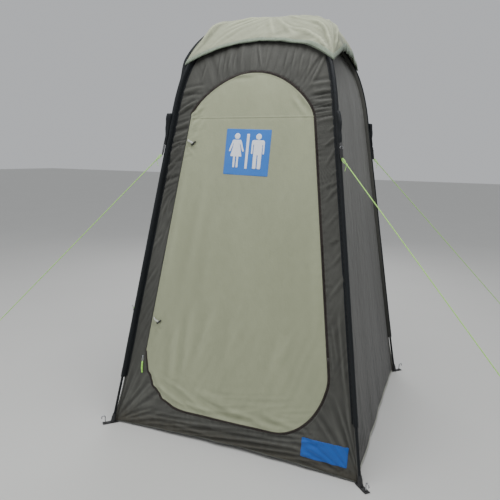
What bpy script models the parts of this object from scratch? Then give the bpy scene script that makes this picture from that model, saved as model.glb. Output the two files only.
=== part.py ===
"""Toilet tent with two crossed poles, a zipped door flap, a roof cap and four guy lines.

Metres, +Z up. The origin is on the ground at the middle of the four pole feet, and the
door faces -Y. Each cloth panel is a thin closed solid, thicker than the real cloth.
"""

import math

import bmesh
import bpy
from mathutils import Matrix, Vector

# Overall form: half sides are measured from the middle to a pole's centre, along X and Y
FOOT_HALF = 0.625
KNEE_HALF, KNEE_Z = 0.568, 0.36
SHOULDER_HALF, SHOULDER_Z = 0.3886, 1.56
APEX_Z = 1.983
LEG_HANDLE, ROOF_HANDLE = 0.44, 0.21
ARCH_STEPS = 12

# Poles and the sleeves round them
POLE_RADIUS = 0.00425
POLE_SIDES = 8
POLE_START_Z = 0.014
FERRULE_Z = 1.20
SLEEVE_START_Z = 0.24
SLEEVE_BORE = 0.0048
SLEEVE_FRONT = 0.009
SLEEVE_WIDTH = 0.0175
SLEEVE_TAIL_IN_SEAM, SLEEVE_TAIL_OVER_MESH = 0.0202, 0.0180
CROSSING_LIFT = 0.0092
CROSSING_REACH = 0.35

# Cloth
CLOTH = 0.002
GAP = 0.0003
SEAM_INSET = 0.0186
WALL_TOP_STEP = 4
HEM_Z = 0.004
HEM_RISE = 0.016
HEM_STEPS = 8
MESH_CLOTH = 0.0015

# Roof cap
CAP_STAND_OFF = 0.0130
CAP_TIP_STEP = 2
CAP_SCALLOP_STEPS = 1.65
CAP_COLUMNS = 8

# Door, in the X and Z of the front wall
DOOR_LEFT_LOW, DOOR_LEFT_HIGH = (-0.466, 0.40), (-0.304, 1.53)
DOOR_RIGHT_LOW, DOOR_RIGHT_HIGH = (0.452, 0.40), (0.293, 1.53)
DOOR_TOP_Z = 1.716
DOOR_TOP_LEFT_HANDLES = ((-0.275, 1.585), (-0.15, 1.716))
DOOR_TOP_RIGHT_HANDLES = ((0.268, 1.59), (0.15, 1.716))
DOOR_BOTTOM_Z = 0.128
DOOR_BOTTOM_HALF = 0.22
DOOR_BOTTOM_LEFT_HANDLES = ((-0.34, 0.128), (-0.455, 0.21))
DOOR_BOTTOM_RIGHT_HANDLES = ((0.325, 0.128), (0.435, 0.235))
DOOR_CURVE_STEPS = 8
HINGE_CORD_RADIUS = 0.002
HINGE_EDGE = 0.0024
ZIP_INNER, ZIP_OUTER = 0.0052, 0.0110
ZIP_THICKNESS = 0.003
OPENING_EDGE = 0.0113
JAMB_SPLIT_TOP_X = 0.20

# Things on the front
SIGN_X, SIGN_Z, SIGN_SIZE = -0.005, 1.359, (0.218, 0.205)
SIGN_LEAN_DEGREES = 1.4
LABEL_X, LABEL_Z, LABEL_SIZE = 0.458, 0.096, (0.205, 0.086)
PLATE = 0.0008
TOGGLE_HEIGHTS = {"upper": 1.405, "lower": 0.547}
TOGGLE_STRAP = (0.030, 0.008, 0.002)
TOGGLE_FROM_SEAM = 0.014
TOGGLE_BARREL_RADIUS, TOGGLE_BARREL_LENGTH = 0.004, 0.02
SLIDER_Z, SLIDER_FROM_HINGE = 0.352, 0.0115
SLIDER_SIZE = (0.006, 0.004, 0.012)
PULL_RADIUS, PULL_LENGTH, PULL_LEAN = 0.0022, 0.075, 0.017

# Guy points, lines, runners and pegs
POCKET_LOW_Z, POCKET_HIGH_Z = 1.385, 1.525
POCKET_DEPTH, POCKET_THICKNESS, POCKET_CHAMFER = 0.030, 0.006, 0.011
TAB_LOW_Z, TAB_DEPTH = 1.335, 0.012
LINE_RADIUS = 0.0015
LINE_PEG_X, LINE_PEG_Y = 1.62, 0.97
LINE_LOW_Z = 0.016
RUNNER_SHARE = 0.30
RUNNER_SIZE = (0.014, 0.006, 0.038)
RUNNER_BORE = 0.0019
PEG_RADIUS = 0.003
PEG_HEIGHT, PEG_HOOK_RADIUS = 0.034, 0.009
PEG_HOOK_DEGREES = (45, 90, 135, 180, 215)

# Corner feet
BOOT_HEIGHT, BOOT_RADIUS_LOW, BOOT_RADIUS_HIGH = 0.045, 0.012, 0.0085
STRAP_LENGTH, STRAP_WIDTH, STRAP_THICKNESS, STRAP_OUT = 0.075, 0.025, 0.0025, 0.012
FOOT_PEG_OUT = 0.036

CORNERS = {
    "front_left": (-1, -1),
    "front_right": (1, -1),
    "back_left": (-1, 1),
    "back_right": (1, 1),
}
OVER_POLE_CORNERS = ("front_left", "back_right")
ROOT_TWO = math.sqrt(2.0)

COLOURS = {
    "sage_cloth": ((0.36, 0.38, 0.30), 0.75, 0.0),
    "charcoal_cloth": ((0.065, 0.065, 0.058), 0.55, 0.0),
    "mesh": ((0.03, 0.035, 0.03), 0.8, 0.0),
    "black_cloth": ((0.012, 0.013, 0.015), 0.6, 0.0),
    "fibreglass": ((0.02, 0.02, 0.022), 0.35, 0.0),
    "black_plastic": ((0.015, 0.015, 0.016), 0.4, 0.0),
    "neon_line": ((0.45, 0.85, 0.08), 0.6, 0.0),
    "blue_print": ((0.03, 0.16, 0.47), 0.5, 0.0),
    "steel": ((0.5, 0.5, 0.52), 0.3, 1.0),
    "zip": ((0.03, 0.022, 0.018), 0.5, 0.0),
}


def clear_scene():
    """Takes every object out of the scene."""
    for old in list(bpy.data.objects):
        bpy.data.objects.remove(old, do_unlink=True)


def material(slot):
    """The named finish, made once."""
    found = bpy.data.materials.get(slot)
    if found:
        return found
    colour, roughness, metallic = COLOURS[slot]
    made = bpy.data.materials.new(slot)
    made.use_nodes = True
    shader = made.node_tree.nodes["Principled BSDF"]
    shader.inputs["Base Color"].default_value = (*colour, 1.0)
    shader.inputs["Roughness"].default_value = roughness
    shader.inputs["Metallic"].default_value = metallic
    return made


def place(name, bm, slot, parent=None, smooth=False):
    """Makes a closed mesh into a named object, under an empty for a moving piece."""
    bmesh.ops.recalc_face_normals(bm, faces=bm.faces)
    if parent:
        bmesh.ops.translate(bm, verts=bm.verts, vec=-parent.location)
    mesh = bpy.data.meshes.new(name)
    bm.to_mesh(mesh)
    bm.free()
    if smooth:
        mesh.shade_smooth()
        mesh.set_sharp_from_angle(angle=math.radians(35))
    mesh.materials.append(material(slot))
    made = bpy.data.objects.new(name, mesh)
    bpy.context.scene.collection.objects.link(made)
    made.parent = parent
    return made


def bezier(points, steps):
    """Points along a cubic curve, both ends included."""
    found = []
    for i in range(steps + 1):
        t = i / steps
        weights = ((1 - t) ** 3, 3 * t * (1 - t) ** 2, 3 * t * t * (1 - t), t**3)
        found.append(tuple(sum(w * p[axis] for w, p in zip(weights, points)) for axis in (0, 1)))
    return found


def leg_half(z):
    """Half side at the pole's centre below the shoulder: straight, with a flare at the foot."""
    slope = (SHOULDER_HALF - KNEE_HALF) / (SHOULDER_Z - KNEE_Z)
    straight = KNEE_HALF + slope * (z - KNEE_Z)
    foot_extra = FOOT_HALF - (KNEE_HALF - slope * KNEE_Z)
    flare = max(KNEE_Z - z, 0.0) / KNEE_Z
    return straight + foot_extra * flare * flare


def leg_profile():
    """(radius, z) stations of a pole in its diagonal plane, from its foot to the apex."""
    low = [0.0, POLE_START_Z, 0.12, SLEEVE_START_Z, KNEE_Z, FERRULE_Z]
    stations = [(leg_half(z) * ROOT_TWO, z) for z in low]
    radius = SHOULDER_HALF * ROOT_TWO
    slope = (SHOULDER_HALF - KNEE_HALF) * ROOT_TWO / (SHOULDER_Z - KNEE_Z)
    handle = LEG_HANDLE / math.hypot(1.0, slope)
    arch = bezier(
        [
            (radius, SHOULDER_Z),
            (radius + slope * handle, SHOULDER_Z + handle),
            (ROOF_HANDLE, APEX_Z),
            (0.0, APEX_Z),
        ],
        ARCH_STEPS,
    )
    return stations + arch


PROFILE = leg_profile()
ARCH_START = len(PROFILE) - ARCH_STEPS - 1
POLE_START, SLEEVE_START, FERRULE = (
    [z for _, z in PROFILE].index(height) for height in (POLE_START_Z, SLEEVE_START_Z, FERRULE_Z)
)


def profile_normals():
    """Outward unit normal of the profile at each station."""
    found = []
    last = len(PROFILE) - 1
    for i in range(len(PROFILE)):
        a = PROFILE[max(i - 1, 0)]
        b = PROFILE[min(i + 1, last)]
        if i == last:
            b = (-PROFILE[last - 1][0], PROFILE[last - 1][1])
        along = Vector((b[0] - a[0], b[1] - a[1])).normalized()
        found.append((along.y, -along.x))
    return found


NORMALS = profile_normals()


def lift(radius):
    """How far the upper pole rises to clear the lower one, near the apex."""
    share = min(abs(radius) / CROSSING_REACH, 1.0)
    return CROSSING_LIFT * (1 - share * share) ** 2


def offset_profile(distance, lifted=False):
    """The profile moved outwards by a distance, and lifted near the apex if asked."""
    moved = []
    for (radius, z), (n_r, n_z) in zip(PROFILE, NORMALS):
        rise = lift(radius) if lifted else 0.0
        moved.append((radius + n_r * distance, z + n_z * distance + rise))
    return moved


def on_diagonal(corner, radius, z, aside=0.0):
    """A point over a corner's diagonal, moved aside at right angles to it."""
    sx, sy = CORNERS[corner]
    along = Vector((sx, sy, 0)) / ROOT_TWO
    across = Vector((-sy, sx, 0)) / ROOT_TWO
    return along * radius + across * aside + Vector((0, 0, z))


def lofted(rings):
    """A closed solid over rings of points, capped at both ends."""
    bm = bmesh.new()
    made = [[bm.verts.new(p) for p in ring] for ring in rings]
    count = len(made[0])
    for low, high in zip(made, made[1:]):
        for i in range(count):
            j = (i + 1) % count
            bm.faces.new((low[i], low[j], high[j], high[i]))
    bm.faces.new(made[0])
    bm.faces.new(made[-1])
    return bm


def hollow_loft(outer, inner):
    """A tube skin: outer rings, inner rings, and flat ring faces at both ends."""
    bm = bmesh.new()
    skins = [[[bm.verts.new(p) for p in ring] for ring in side] for side in (outer, inner)]
    count = len(outer[0])
    for rings in skins:
        for low, high in zip(rings, rings[1:]):
            for i in range(count):
                j = (i + 1) % count
                bm.faces.new((low[i], low[j], high[j], high[i]))
    for end in (0, -1):
        for i in range(count):
            j = (i + 1) % count
            bm.faces.new((skins[0][end][i], skins[0][end][j], skins[1][end][j], skins[1][end][i]))
    return bm


def rod(start, end, radius, sides=POLE_SIDES):
    """A straight round bar between two points."""
    along = (end - start).normalized()
    aside = along.cross(Vector((0, 1, 0))).normalized()
    outward = along.cross(aside)
    section = circle(radius, sides)
    return lofted([[p + aside * a + outward * b for a, b in section] for p in (start, end)])


def circle(radius, sides=POLE_SIDES):
    """Corners of a polygon round a pole, as (outward, aside)."""
    turns = [2 * math.pi * (i + 0.5) / sides for i in range(sides)]
    return [(radius * math.cos(turn), radius * math.sin(turn)) for turn in turns]


def teardrop(tail):
    """Sleeve section round a pole: a round front and a tail that is sewn into the corner seam."""
    half = SLEEVE_WIDTH / 2
    return [
        (SLEEVE_FRONT, 0.35 * half),
        (0.45 * SLEEVE_FRONT, half),
        (-0.5 * SLEEVE_FRONT, 0.94 * half),
        (-tail, 0.12 * half),
        (-tail, -0.12 * half),
        (-0.5 * SLEEVE_FRONT, -0.94 * half),
        (0.45 * SLEEVE_FRONT, -half),
        (SLEEVE_FRONT, -0.35 * half),
    ]


def leg_rings(corner, section, first, last):
    """A section carried along one leg's stations, from its first station to its last."""
    over = corner in OVER_POLE_CORNERS
    rings = []
    for i in range(first, last + 1):
        (radius, z), (n_r, n_z) = PROFILE[i], NORMALS[i]
        rise = lift(radius) if over else 0.0
        rings.append([on_diagonal(corner, radius + n_r * d, z + n_z * d + rise, a) for d, a in section])
    return rings


def build_poles():
    """Four leg sections, from foot to ferrule, and two arch sections that cross at the apex."""
    section = circle(POLE_RADIUS)
    for corner in CORNERS:
        rings = leg_rings(corner, section, POLE_START, FERRULE)
        place(f"pole_leg_{corner}", lofted(rings), "fibreglass", smooth=True)
    for name, near, far in (
        ("pole_arch_over", "front_left", "back_right"),
        ("pole_arch_under", "front_right", "back_left"),
    ):
        rings = leg_rings(near, section, FERRULE, len(PROFILE) - 1)
        mirrored = [(d, -a) for d, a in section]
        rings += leg_rings(far, mirrored, FERRULE, len(PROFILE) - 2)[::-1]
        for end, toward in ((0, 1), (-1, -2)):
            step = (rings[toward][0] - rings[end][0]).normalized() * GAP
            rings[end] = [p + step for p in rings[end]]
        place(name, lofted(rings), "fibreglass", smooth=True)


def build_sleeves():
    """A cloth sleeve up each corner, from above the foot to the crossing."""
    bore = circle(SLEEVE_BORE)
    last = len(PROFILE) - 2
    for corner in CORNERS:
        outer = leg_rings(corner, teardrop(SLEEVE_TAIL_IN_SEAM), SLEEVE_START, WALL_TOP - 1)
        outer += leg_rings(corner, teardrop(SLEEVE_TAIL_OVER_MESH), WALL_TOP, last)
        inner = leg_rings(corner, bore, SLEEVE_START, last)
        place(f"pole_sleeve_{corner}", hollow_loft(outer, inner), "black_cloth", smooth=True)


WALL_OUTER = [(r / ROOT_TWO, z) for r, z in offset_profile(-SEAM_INSET)]
WALL_TOP = ARCH_START + WALL_TOP_STEP
WALL_TOP_Z = WALL_OUTER[WALL_TOP][1]


def wall_half(z):
    """Half side of the walls' outer face at a height, straight between the stations."""
    rows = WALL_OUTER[: WALL_TOP + 2]
    for (half_a, z_a), (half_b, z_b) in zip(rows, rows[1:]):
        if z <= z_b or (half_b, z_b) == rows[-1]:
            share = (z - z_a) / (z_b - z_a)
            return half_a + share * (half_b - half_a)
    return rows[-1][0]


def front_point(x, z, proud=0.0):
    """A point over the front wall's outer face, stood off outwards by proud."""
    return Vector((x, -wall_half(z) - proud, z))


def sheet(outline, proud, thickness, turn=0.0):
    """A cloth solid that follows the walls: an outline in the front wall's X and Z, turned about Z."""
    bm = bmesh.new()
    bm.faces.new([bm.verts.new((x, 0.0, z)) for x, z in outline])
    for _, z in WALL_OUTER[1:WALL_TOP]:
        everything = bm.verts[:] + bm.edges[:] + bm.faces[:]
        bmesh.ops.bisect_plane(bm, geom=everything, dist=1e-7, plane_co=(0, 0, z), plane_no=(0, 0, 1))
    bmesh.ops.triangulate(bm, faces=bm.faces[:])
    grown = bmesh.ops.extrude_face_region(bm, geom=bm.faces[:])
    inner = {v for v in grown["geom"] if isinstance(v, bmesh.types.BMVert)}
    for v in bm.verts:
        stand = proud - thickness if v in inner else proud
        v.co = front_point(v.co.x, v.co.z, stand)
    if turn:
        bmesh.ops.rotate(bm, verts=bm.verts, matrix=Matrix.Rotation(turn, 3, "Z"))
    return bm


def hem(x_from, x_to):
    """Points along a wall's lower edge, a little higher in the middle than at the corners."""
    reach = wall_half(HEM_Z)
    points = []
    for i in range(HEM_STEPS + 1):
        x = x_from + (x_to - x_from) * i / HEM_STEPS
        points.append((x, HEM_Z + HEM_RISE * max(0.0, 1 - (x / reach) ** 2)))
    return points


def wall_edge(side, z_low, z_high):
    """Points up one side of a wall, at the stations between two heights."""
    between = [z for _, z in WALL_OUTER if z_low + GAP < z < z_high - GAP]
    return [(side * (wall_half(z) - CLOTH - GAP), z) for z in [z_low, *between, z_high]]


def build_plain_walls():
    """The left, right and back walls."""
    reach = wall_half(HEM_Z) - CLOTH - GAP
    outline = wall_edge(-1, HEM_Z, WALL_TOP_Z)[::-1]
    outline += hem(-reach, reach)[1:-1]
    outline += wall_edge(1, HEM_Z, WALL_TOP_Z)
    for name, turn in (("right_wall", 90), ("back_wall", 180), ("left_wall", -90)):
        place(name, sheet(outline, 0.0, CLOTH, math.radians(turn)), "charcoal_cloth")


def zip_path():
    """The door's outline from the hinge's lower end, round by the bottom, right side and top."""
    left_start, right_start = (-DOOR_BOTTOM_HALF, DOOR_BOTTOM_Z), (DOOR_BOTTOM_HALF, DOOR_BOTTOM_Z)
    crown = (0.0, DOOR_TOP_Z)
    corners = (
        (left_start, *DOOR_BOTTOM_LEFT_HANDLES, DOOR_LEFT_LOW),
        (right_start, *DOOR_BOTTOM_RIGHT_HANDLES, DOOR_RIGHT_LOW),
        (DOOR_RIGHT_HIGH, *DOOR_TOP_RIGHT_HANDLES, crown),
        (DOOR_LEFT_HIGH, *DOOR_TOP_LEFT_HANDLES, crown),
    )
    low_left, low_right, top_right, top_left = (bezier(c, DOOR_CURVE_STEPS) for c in corners)
    return low_left[::-1] + low_right + top_right + top_left[-2::-1]


def offset_path(points, distance):
    """An open path moved to its right-hand side, which is outside the door."""
    moved = []
    last = len(points) - 1
    for i, (x, z) in enumerate(points):
        a = points[max(i - 1, 0)]
        b = points[min(i + 1, last)]
        along = Vector((b[0] - a[0], b[1] - a[1])).normalized()
        moved.append((x + along.y * distance, z - along.x * distance))
    return moved


def hinge_direction():
    """Unit direction of the hinge, up the front wall's plane, in X and Z."""
    (low_x, low_z), (high_x, high_z) = DOOR_LEFT_LOW, DOOR_LEFT_HIGH
    return Vector((high_x - low_x, high_z - low_z)).normalized()


def hinge_x(z):
    """X of the hinge line, or of its extension, at a height."""
    (low_x, low_z), (high_x, high_z) = DOOR_LEFT_LOW, DOOR_LEFT_HIGH
    return low_x + (high_x - low_x) * (z - low_z) / (high_z - low_z)


def hinge_edge(distance):
    """The two ends of the door's left edge, moved sideways from the hinge, positive into the door."""
    along = hinge_direction()
    aside = Vector((along.y, -along.x)) * distance
    return [(x + aside.x, z + aside.y) for x, z in (DOOR_LEFT_LOW, DOOR_LEFT_HIGH)]


def hinge_axis():
    """The hinge's lower and upper ends, in the middle of the cloth."""
    return [front_point(x, z, -CLOTH / 2) for x, z in (DOOR_LEFT_LOW, DOOR_LEFT_HIGH)]


def height_at(points, x):
    """Height of a path of (x, z) points at an x between its ends."""
    for (xa, za), (xb, zb) in zip(points, points[1:]):
        if min(xa, xb) <= x <= max(xa, xb):
            return za + (zb - za) * (x - xa) / (xb - xa)
    return points[-1][1]


def build_front_wall():
    """The front wall round the doorway: two jambs, a strip over the door and one under it."""
    opening = offset_path(zip_path(), OPENING_EDGE)
    quarter = DOOR_CURVE_STEPS + 1
    low_left, low_right = opening[:quarter], opening[quarter : 2 * quarter]
    top_right, top_left = opening[2 * quarter : 3 * quarter], opening[3 * quarter - 1 :]
    half_gap = GAP / 2
    low_x, top_x = DOOR_BOTTOM_HALF, JAMB_SPLIT_TOP_X
    edge_low_x = wall_half(HEM_Z) - CLOTH - GAP
    low_z = low_right[0][1]
    right_arch_z = height_at(top_right, top_x)
    left_arch_z = height_at(top_left, -top_x)
    near = 2 * CLOTH
    right = hem(low_x + half_gap, edge_low_x)[:-1] + wall_edge(1, HEM_Z, WALL_TOP_Z)
    right += [(top_x + half_gap, WALL_TOP_Z), (top_x + half_gap, right_arch_z)]
    right += [p for p in top_right[::-1] if p[0] > top_x + near]
    right += [p for p in low_right[::-1] if p[0] > low_x + near]
    right += [(low_x + half_gap, low_z)]
    place("front_wall_right", sheet(right, 0.0, CLOTH), "charcoal_cloth")

    hinge_low, hinge_high = hinge_edge(-HINGE_EDGE)
    left = hem(low_x + half_gap, edge_low_x)[:-1] + wall_edge(1, HEM_Z, WALL_TOP_Z)
    left += [(top_x + half_gap, WALL_TOP_Z), (top_x + half_gap, left_arch_z)]
    left = [(-x, z) for x, z in left]
    left += [p for p in top_left if p[0] < -top_x - near]
    left += [hinge_high, hinge_low]
    left += [p for p in low_left if p[0] < -low_x - near]
    left += [(-low_x - half_gap, low_z)]
    place("front_wall_left", sheet(left, 0.0, CLOTH), "charcoal_cloth")

    top_x -= half_gap
    over = [(-top_x, left_arch_z), (-top_x, WALL_TOP_Z)]
    over += [(top_x, WALL_TOP_Z), (top_x, right_arch_z)]
    over += [p for p in top_right if abs(p[0]) < top_x - near]
    over += [p for p in top_left[1:] if abs(p[0]) < top_x - near]
    place("front_wall_over_door", sheet(over, 0.0, CLOTH), "charcoal_cloth")

    low_x -= half_gap
    under = hem(-low_x, low_x) + [(low_x, low_z), (-low_x, low_z)]
    place("front_wall_under_door", sheet(under, 0.0, CLOTH), "charcoal_cloth")


def build_door(hinge):
    """The door flap, the cord in its hinge seam and the zip round its other edges."""
    path = zip_path()
    hinge_low, hinge_high = hinge_edge(HINGE_EDGE)
    door = [hinge_low] + path[1:-1] + [hinge_high]
    place("door_flap", sheet(door, 0.0, CLOTH), "sage_cloth", hinge)

    strip = offset_path(path, ZIP_INNER) + offset_path(path, ZIP_OUTER)[::-1]
    proud = (ZIP_THICKNESS - CLOTH) / 2
    place("door_zip", sheet(strip, proud, ZIP_THICKNESS), "zip")

    place("door_hinge_cord", rod(*hinge_axis(), HINGE_CORD_RADIUS), "charcoal_cloth", smooth=True)


def plate(x_mid, z_mid, width, height, lean=0.0):
    """Corners of a rectangle on the front wall, leaned clockwise by an angle."""
    cos, sin = math.cos(lean), math.sin(lean)
    corners = []
    for sx, sz in ((-1, -1), (1, -1), (1, 1), (-1, 1)):
        x, z = sx * width / 2, sz * height / 2
        corners.append((x_mid + x * cos + z * sin, z_mid - x * sin + z * cos))
    return corners


def build_sign_and_label(hinge):
    """The square sign on the door and the plain label on the wall beside it."""
    sign = plate(SIGN_X, SIGN_Z, *SIGN_SIZE, math.radians(SIGN_LEAN_DEGREES))
    place("door_sign", sheet(sign, PLATE + GAP, PLATE), "blue_print", hinge)
    label = plate(LABEL_X, LABEL_Z, *LABEL_SIZE)
    place("wall_label", sheet(label, PLATE + GAP, PLATE), "blue_print")


def build_toggles(hinge):
    """Two loops on the door's hinge side, each with a toggle barrel at its end."""
    length, width, thick = TOGGLE_STRAP
    for name, z in TOGGLE_HEIGHTS.items():
        x_mid = hinge_x(z) + TOGGLE_FROM_SEAM + length / 2
        bm = sheet(plate(x_mid, z, length, width), thick + GAP, thick)
        half = TOGGLE_BARREL_LENGTH / 2
        stand = 2 * GAP + TOGGLE_BARREL_RADIUS
        ends = [front_point(x_mid + length / 2, z + up, stand) for up in (-half, half)]
        barrel = rod(*ends, TOGGLE_BARREL_RADIUS)
        strap_object = place(f"door_toggle_{name}", bm, "black_plastic", hinge)
        barrel_object = place(f"barrel_guide_{name}", barrel, "black_plastic", hinge)
        join(strap_object, barrel_object)


def join(base, extra, operation="UNION"):
    """Joins or cuts one object with another, which then stays only as a guide."""
    change = base.modifiers.new("join", "BOOLEAN")
    change.operation = operation
    change.solver = "EXACT"
    change.object = extra
    extra.hide_render = True
    extra.display_type = "WIRE"


def build_zip_puller():
    """The zip's slider at its closed end, with its cord pull hanging."""
    x, z = hinge_x(SLIDER_Z) - SLIDER_FROM_HINGE, SLIDER_Z
    proud = (ZIP_THICKNESS - CLOTH) / 2 + GAP
    width, depth, height = SLIDER_SIZE
    slider = place("zip_puller", sheet(plate(x, z, width, height), proud + depth, depth), "steel")
    top = front_point(x - width / 2, z, PULL_RADIUS + 2 * GAP)
    foot = front_point(top.x - PULL_LEAN, top.z - PULL_LENGTH, PULL_RADIUS + 2 * GAP)
    pull = place("pull_guide", rod(top, foot, PULL_RADIUS, 6), "neon_line")
    join(slider, pull)


def build_roof():
    """The mesh ceiling under the poles, and the cap over them with its scalloped edges."""
    inner_profile = [(r / ROOT_TWO, z) for r, z in offset_profile(-SEAM_INSET - MESH_CLOTH)]
    last = len(PROFILE) - 1
    outer_rings, inner_rings = [], []
    for rings, rows in ((outer_rings, WALL_OUTER), (inner_rings, inner_profile)):
        for i in range(WALL_TOP, last):
            half, z = rows[i]
            z = WALL_TOP_Z + GAP if i == WALL_TOP else z
            rings.append([(sx * half, sy * half, z) for sx, sy in ((-1, -1), (1, -1), (1, 1), (-1, 1))])
    bm = bmesh.new()
    skins = [[[bm.verts.new(p) for p in ring] for ring in side] for side in (outer_rings, inner_rings)]
    for rings in skins:
        for low, high in zip(rings, rings[1:]):
            for i in range(4):
                j = (i + 1) % 4
                bm.faces.new((low[i], low[j], high[j], high[i]))
        bm.faces.new(rings[-1])
    for i in range(4):
        j = (i + 1) % 4
        bm.faces.new((skins[0][0][i], skins[0][0][j], skins[1][0][j], skins[1][0][i]))
    place("roof_mesh", bm, "mesh")
    build_cap()


def along_rows(rows, step):
    """The point a fractional number of stations along a profile."""
    i = min(int(step), len(rows) - 2)
    share = step - i
    (ra, za), (rb, zb) = rows[i], rows[i + 1]
    return ra + (rb - ra) * share, za + (zb - za) * share


def build_cap():
    """The roof cap: four gores over the poles, each with an arched lower edge between two tips."""
    first = ARCH_START + CAP_TIP_STEP
    last = len(PROFILE) - 1
    full = first + math.ceil(CAP_SCALLOP_STEPS)
    skins = []
    bm = bmesh.new()
    for distance in (CAP_STAND_OFF + CLOTH, CAP_STAND_OFF):
        rows = [(r / ROOT_TWO, z) for r, z in offset_profile(distance, lifted=True)]
        grid = []
        for step in range(first, last):
            ring = []
            for side in range(4):
                turn = Matrix.Rotation(side * math.pi / 2, 3, "Z")
                for column in range(CAP_COLUMNS):
                    u = 2 * column / CAP_COLUMNS - 1
                    edge = first + CAP_SCALLOP_STEPS * (1 - u * u)
                    share = min((step - first) / (full - first), 1.0)
                    at = edge + (full - edge) * share if step < full else step
                    half, z = along_rows(rows, at)
                    ring.append(bm.verts.new(turn @ Vector((u * half, -half, z))))
            grid.append(ring)
        top = bm.verts.new((0.0, 0.0, rows[last][1]))
        count = len(grid[0])
        for low, high in zip(grid, grid[1:]):
            for i in range(count):
                j = (i + 1) % count
                bm.faces.new((low[i], low[j], high[j], high[i]))
        for i in range(count):
            bm.faces.new((grid[-1][i], grid[-1][(i + 1) % count], top))
        skins.append(grid[0])
    outer, inner = skins
    for i in range(len(outer)):
        j = (i + 1) % len(outer)
        bm.faces.new((outer[i], outer[j], inner[j], inner[i]))
    place("roof_cap", bm, "sage_cloth")


def off_leg(corner, distance, z, aside=0.0):
    """A point outwards of the straight part of a leg, at right angles to it."""
    slope = (SHOULDER_HALF - KNEE_HALF) * ROOT_TWO / (SHOULDER_Z - KNEE_Z)
    outward = Vector((1.0, -slope)).normalized() * distance
    return on_diagonal(corner, leg_half(z) * ROOT_TWO + outward.x, z + outward.y, aside)


def build_guy_points():
    """A cloth pocket on each sleeve, with a webbing tab under it for the guy line."""
    near = SLEEVE_FRONT + GAP
    deep = near + POCKET_DEPTH
    tab = near + TAB_DEPTH
    outline = [
        (near, POCKET_HIGH_Z),
        (deep, POCKET_HIGH_Z),
        (deep, POCKET_LOW_Z + POCKET_CHAMFER),
        (deep - POCKET_CHAMFER, POCKET_LOW_Z),
        (tab, POCKET_LOW_Z),
        (tab, TAB_LOW_Z),
        (near, TAB_LOW_Z),
    ]
    for corner in CORNERS:
        sides = (-POCKET_THICKNESS / 2, POCKET_THICKNESS / 2)
        rings = [[off_leg(corner, d, z, aside) for d, z in outline] for aside in sides]
        place(f"guy_point_{corner}", lofted(rings), "black_cloth")


def line_ends(corner):
    """Where a guy line leaves its tab, and where it meets its peg."""
    sx, sy = CORNERS[corner]
    high = off_leg(corner, SLEEVE_FRONT + GAP + TAB_DEPTH, TAB_LOW_Z)
    low = Vector((sx * LINE_PEG_X, sy * LINE_PEG_Y, LINE_LOW_Z))
    along = (low - high).normalized()
    flat = Vector((along.x, along.y, 0)).normalized()
    high += along * (LINE_RADIUS / 2 + GAP)
    low -= along * ((PEG_RADIUS + LINE_RADIUS / 2 + GAP) / along.dot(flat))
    return high, low, along, flat


def build_guy_lines():
    """Four taut lines, each with its runner, its lower end at a hooked peg."""
    width, depth, length = RUNNER_SIZE
    slab = [(sa * width / 2, sb * depth / 2) for sa, sb in ((-1, -1), (1, -1), (1, 1), (-1, 1))]
    hole = [(math.copysign(RUNNER_BORE, a), math.copysign(RUNNER_BORE, b)) for a, b in slab]
    for corner in CORNERS:
        high, low, along, flat = line_ends(corner)
        aside = Vector((-flat.y, flat.x, 0))
        upward = aside.cross(along)

        def rings(section, ends):
            return [[end + aside * a + upward * b for a, b in section] for end in ends]

        line = lofted(rings(circle(LINE_RADIUS), (high, low)))
        place(f"guy_line_{corner}", line, "neon_line", smooth=True)
        middle = low.lerp(high, RUNNER_SHARE)
        ends = (middle - along * length / 2, middle + along * length / 2)
        runner = hollow_loft(rings(slab, ends), rings(hole, ends))
        place(f"guy_runner_{corner}", runner, "black_plastic")
        sx, sy = CORNERS[corner]
        foot = Vector((sx * LINE_PEG_X, sy * LINE_PEG_Y, 0))
        place(f"guy_peg_{corner}", peg(foot, flat), "steel", smooth=True)


def peg(foot, away):
    """The part of a hooked wire peg that stands above the ground, its hook turned away."""
    up = Vector((0, 0, 1))
    aside = up.cross(away)
    bend = foot + up * PEG_HEIGHT + away * PEG_HOOK_RADIUS
    stations = [(foot, up), (foot + up * PEG_HEIGHT, up)]
    for degrees in PEG_HOOK_DEGREES:
        angle = math.radians(degrees)
        point = bend - away * math.cos(angle) * PEG_HOOK_RADIUS + up * math.sin(angle) * PEG_HOOK_RADIUS
        heading = away * math.sin(angle) + up * math.cos(angle)
        stations.append((point, heading))
    rings = []
    for point, heading in stations:
        across = aside.cross(heading).normalized()
        rings.append([point + aside * a + across * b for a, b in circle(PEG_RADIUS)])
    return lofted(rings)


def foot_ring(distance, radius, corner, level=False):
    """A ring round a pole near its foot, a distance up from its end, or flat on the ground."""
    start = Vector(PROFILE[0])
    up = (Vector(PROFILE[POLE_START + 1]) - start).normalized()
    normal = Vector((up.y, -up.x))
    ring = []
    for d, a in circle(radius):
        at = start + up * distance + normal * d
        z = 0.0 if level else at.y
        ring.append(on_diagonal(corner, at.x, z, a))
    return ring


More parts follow.
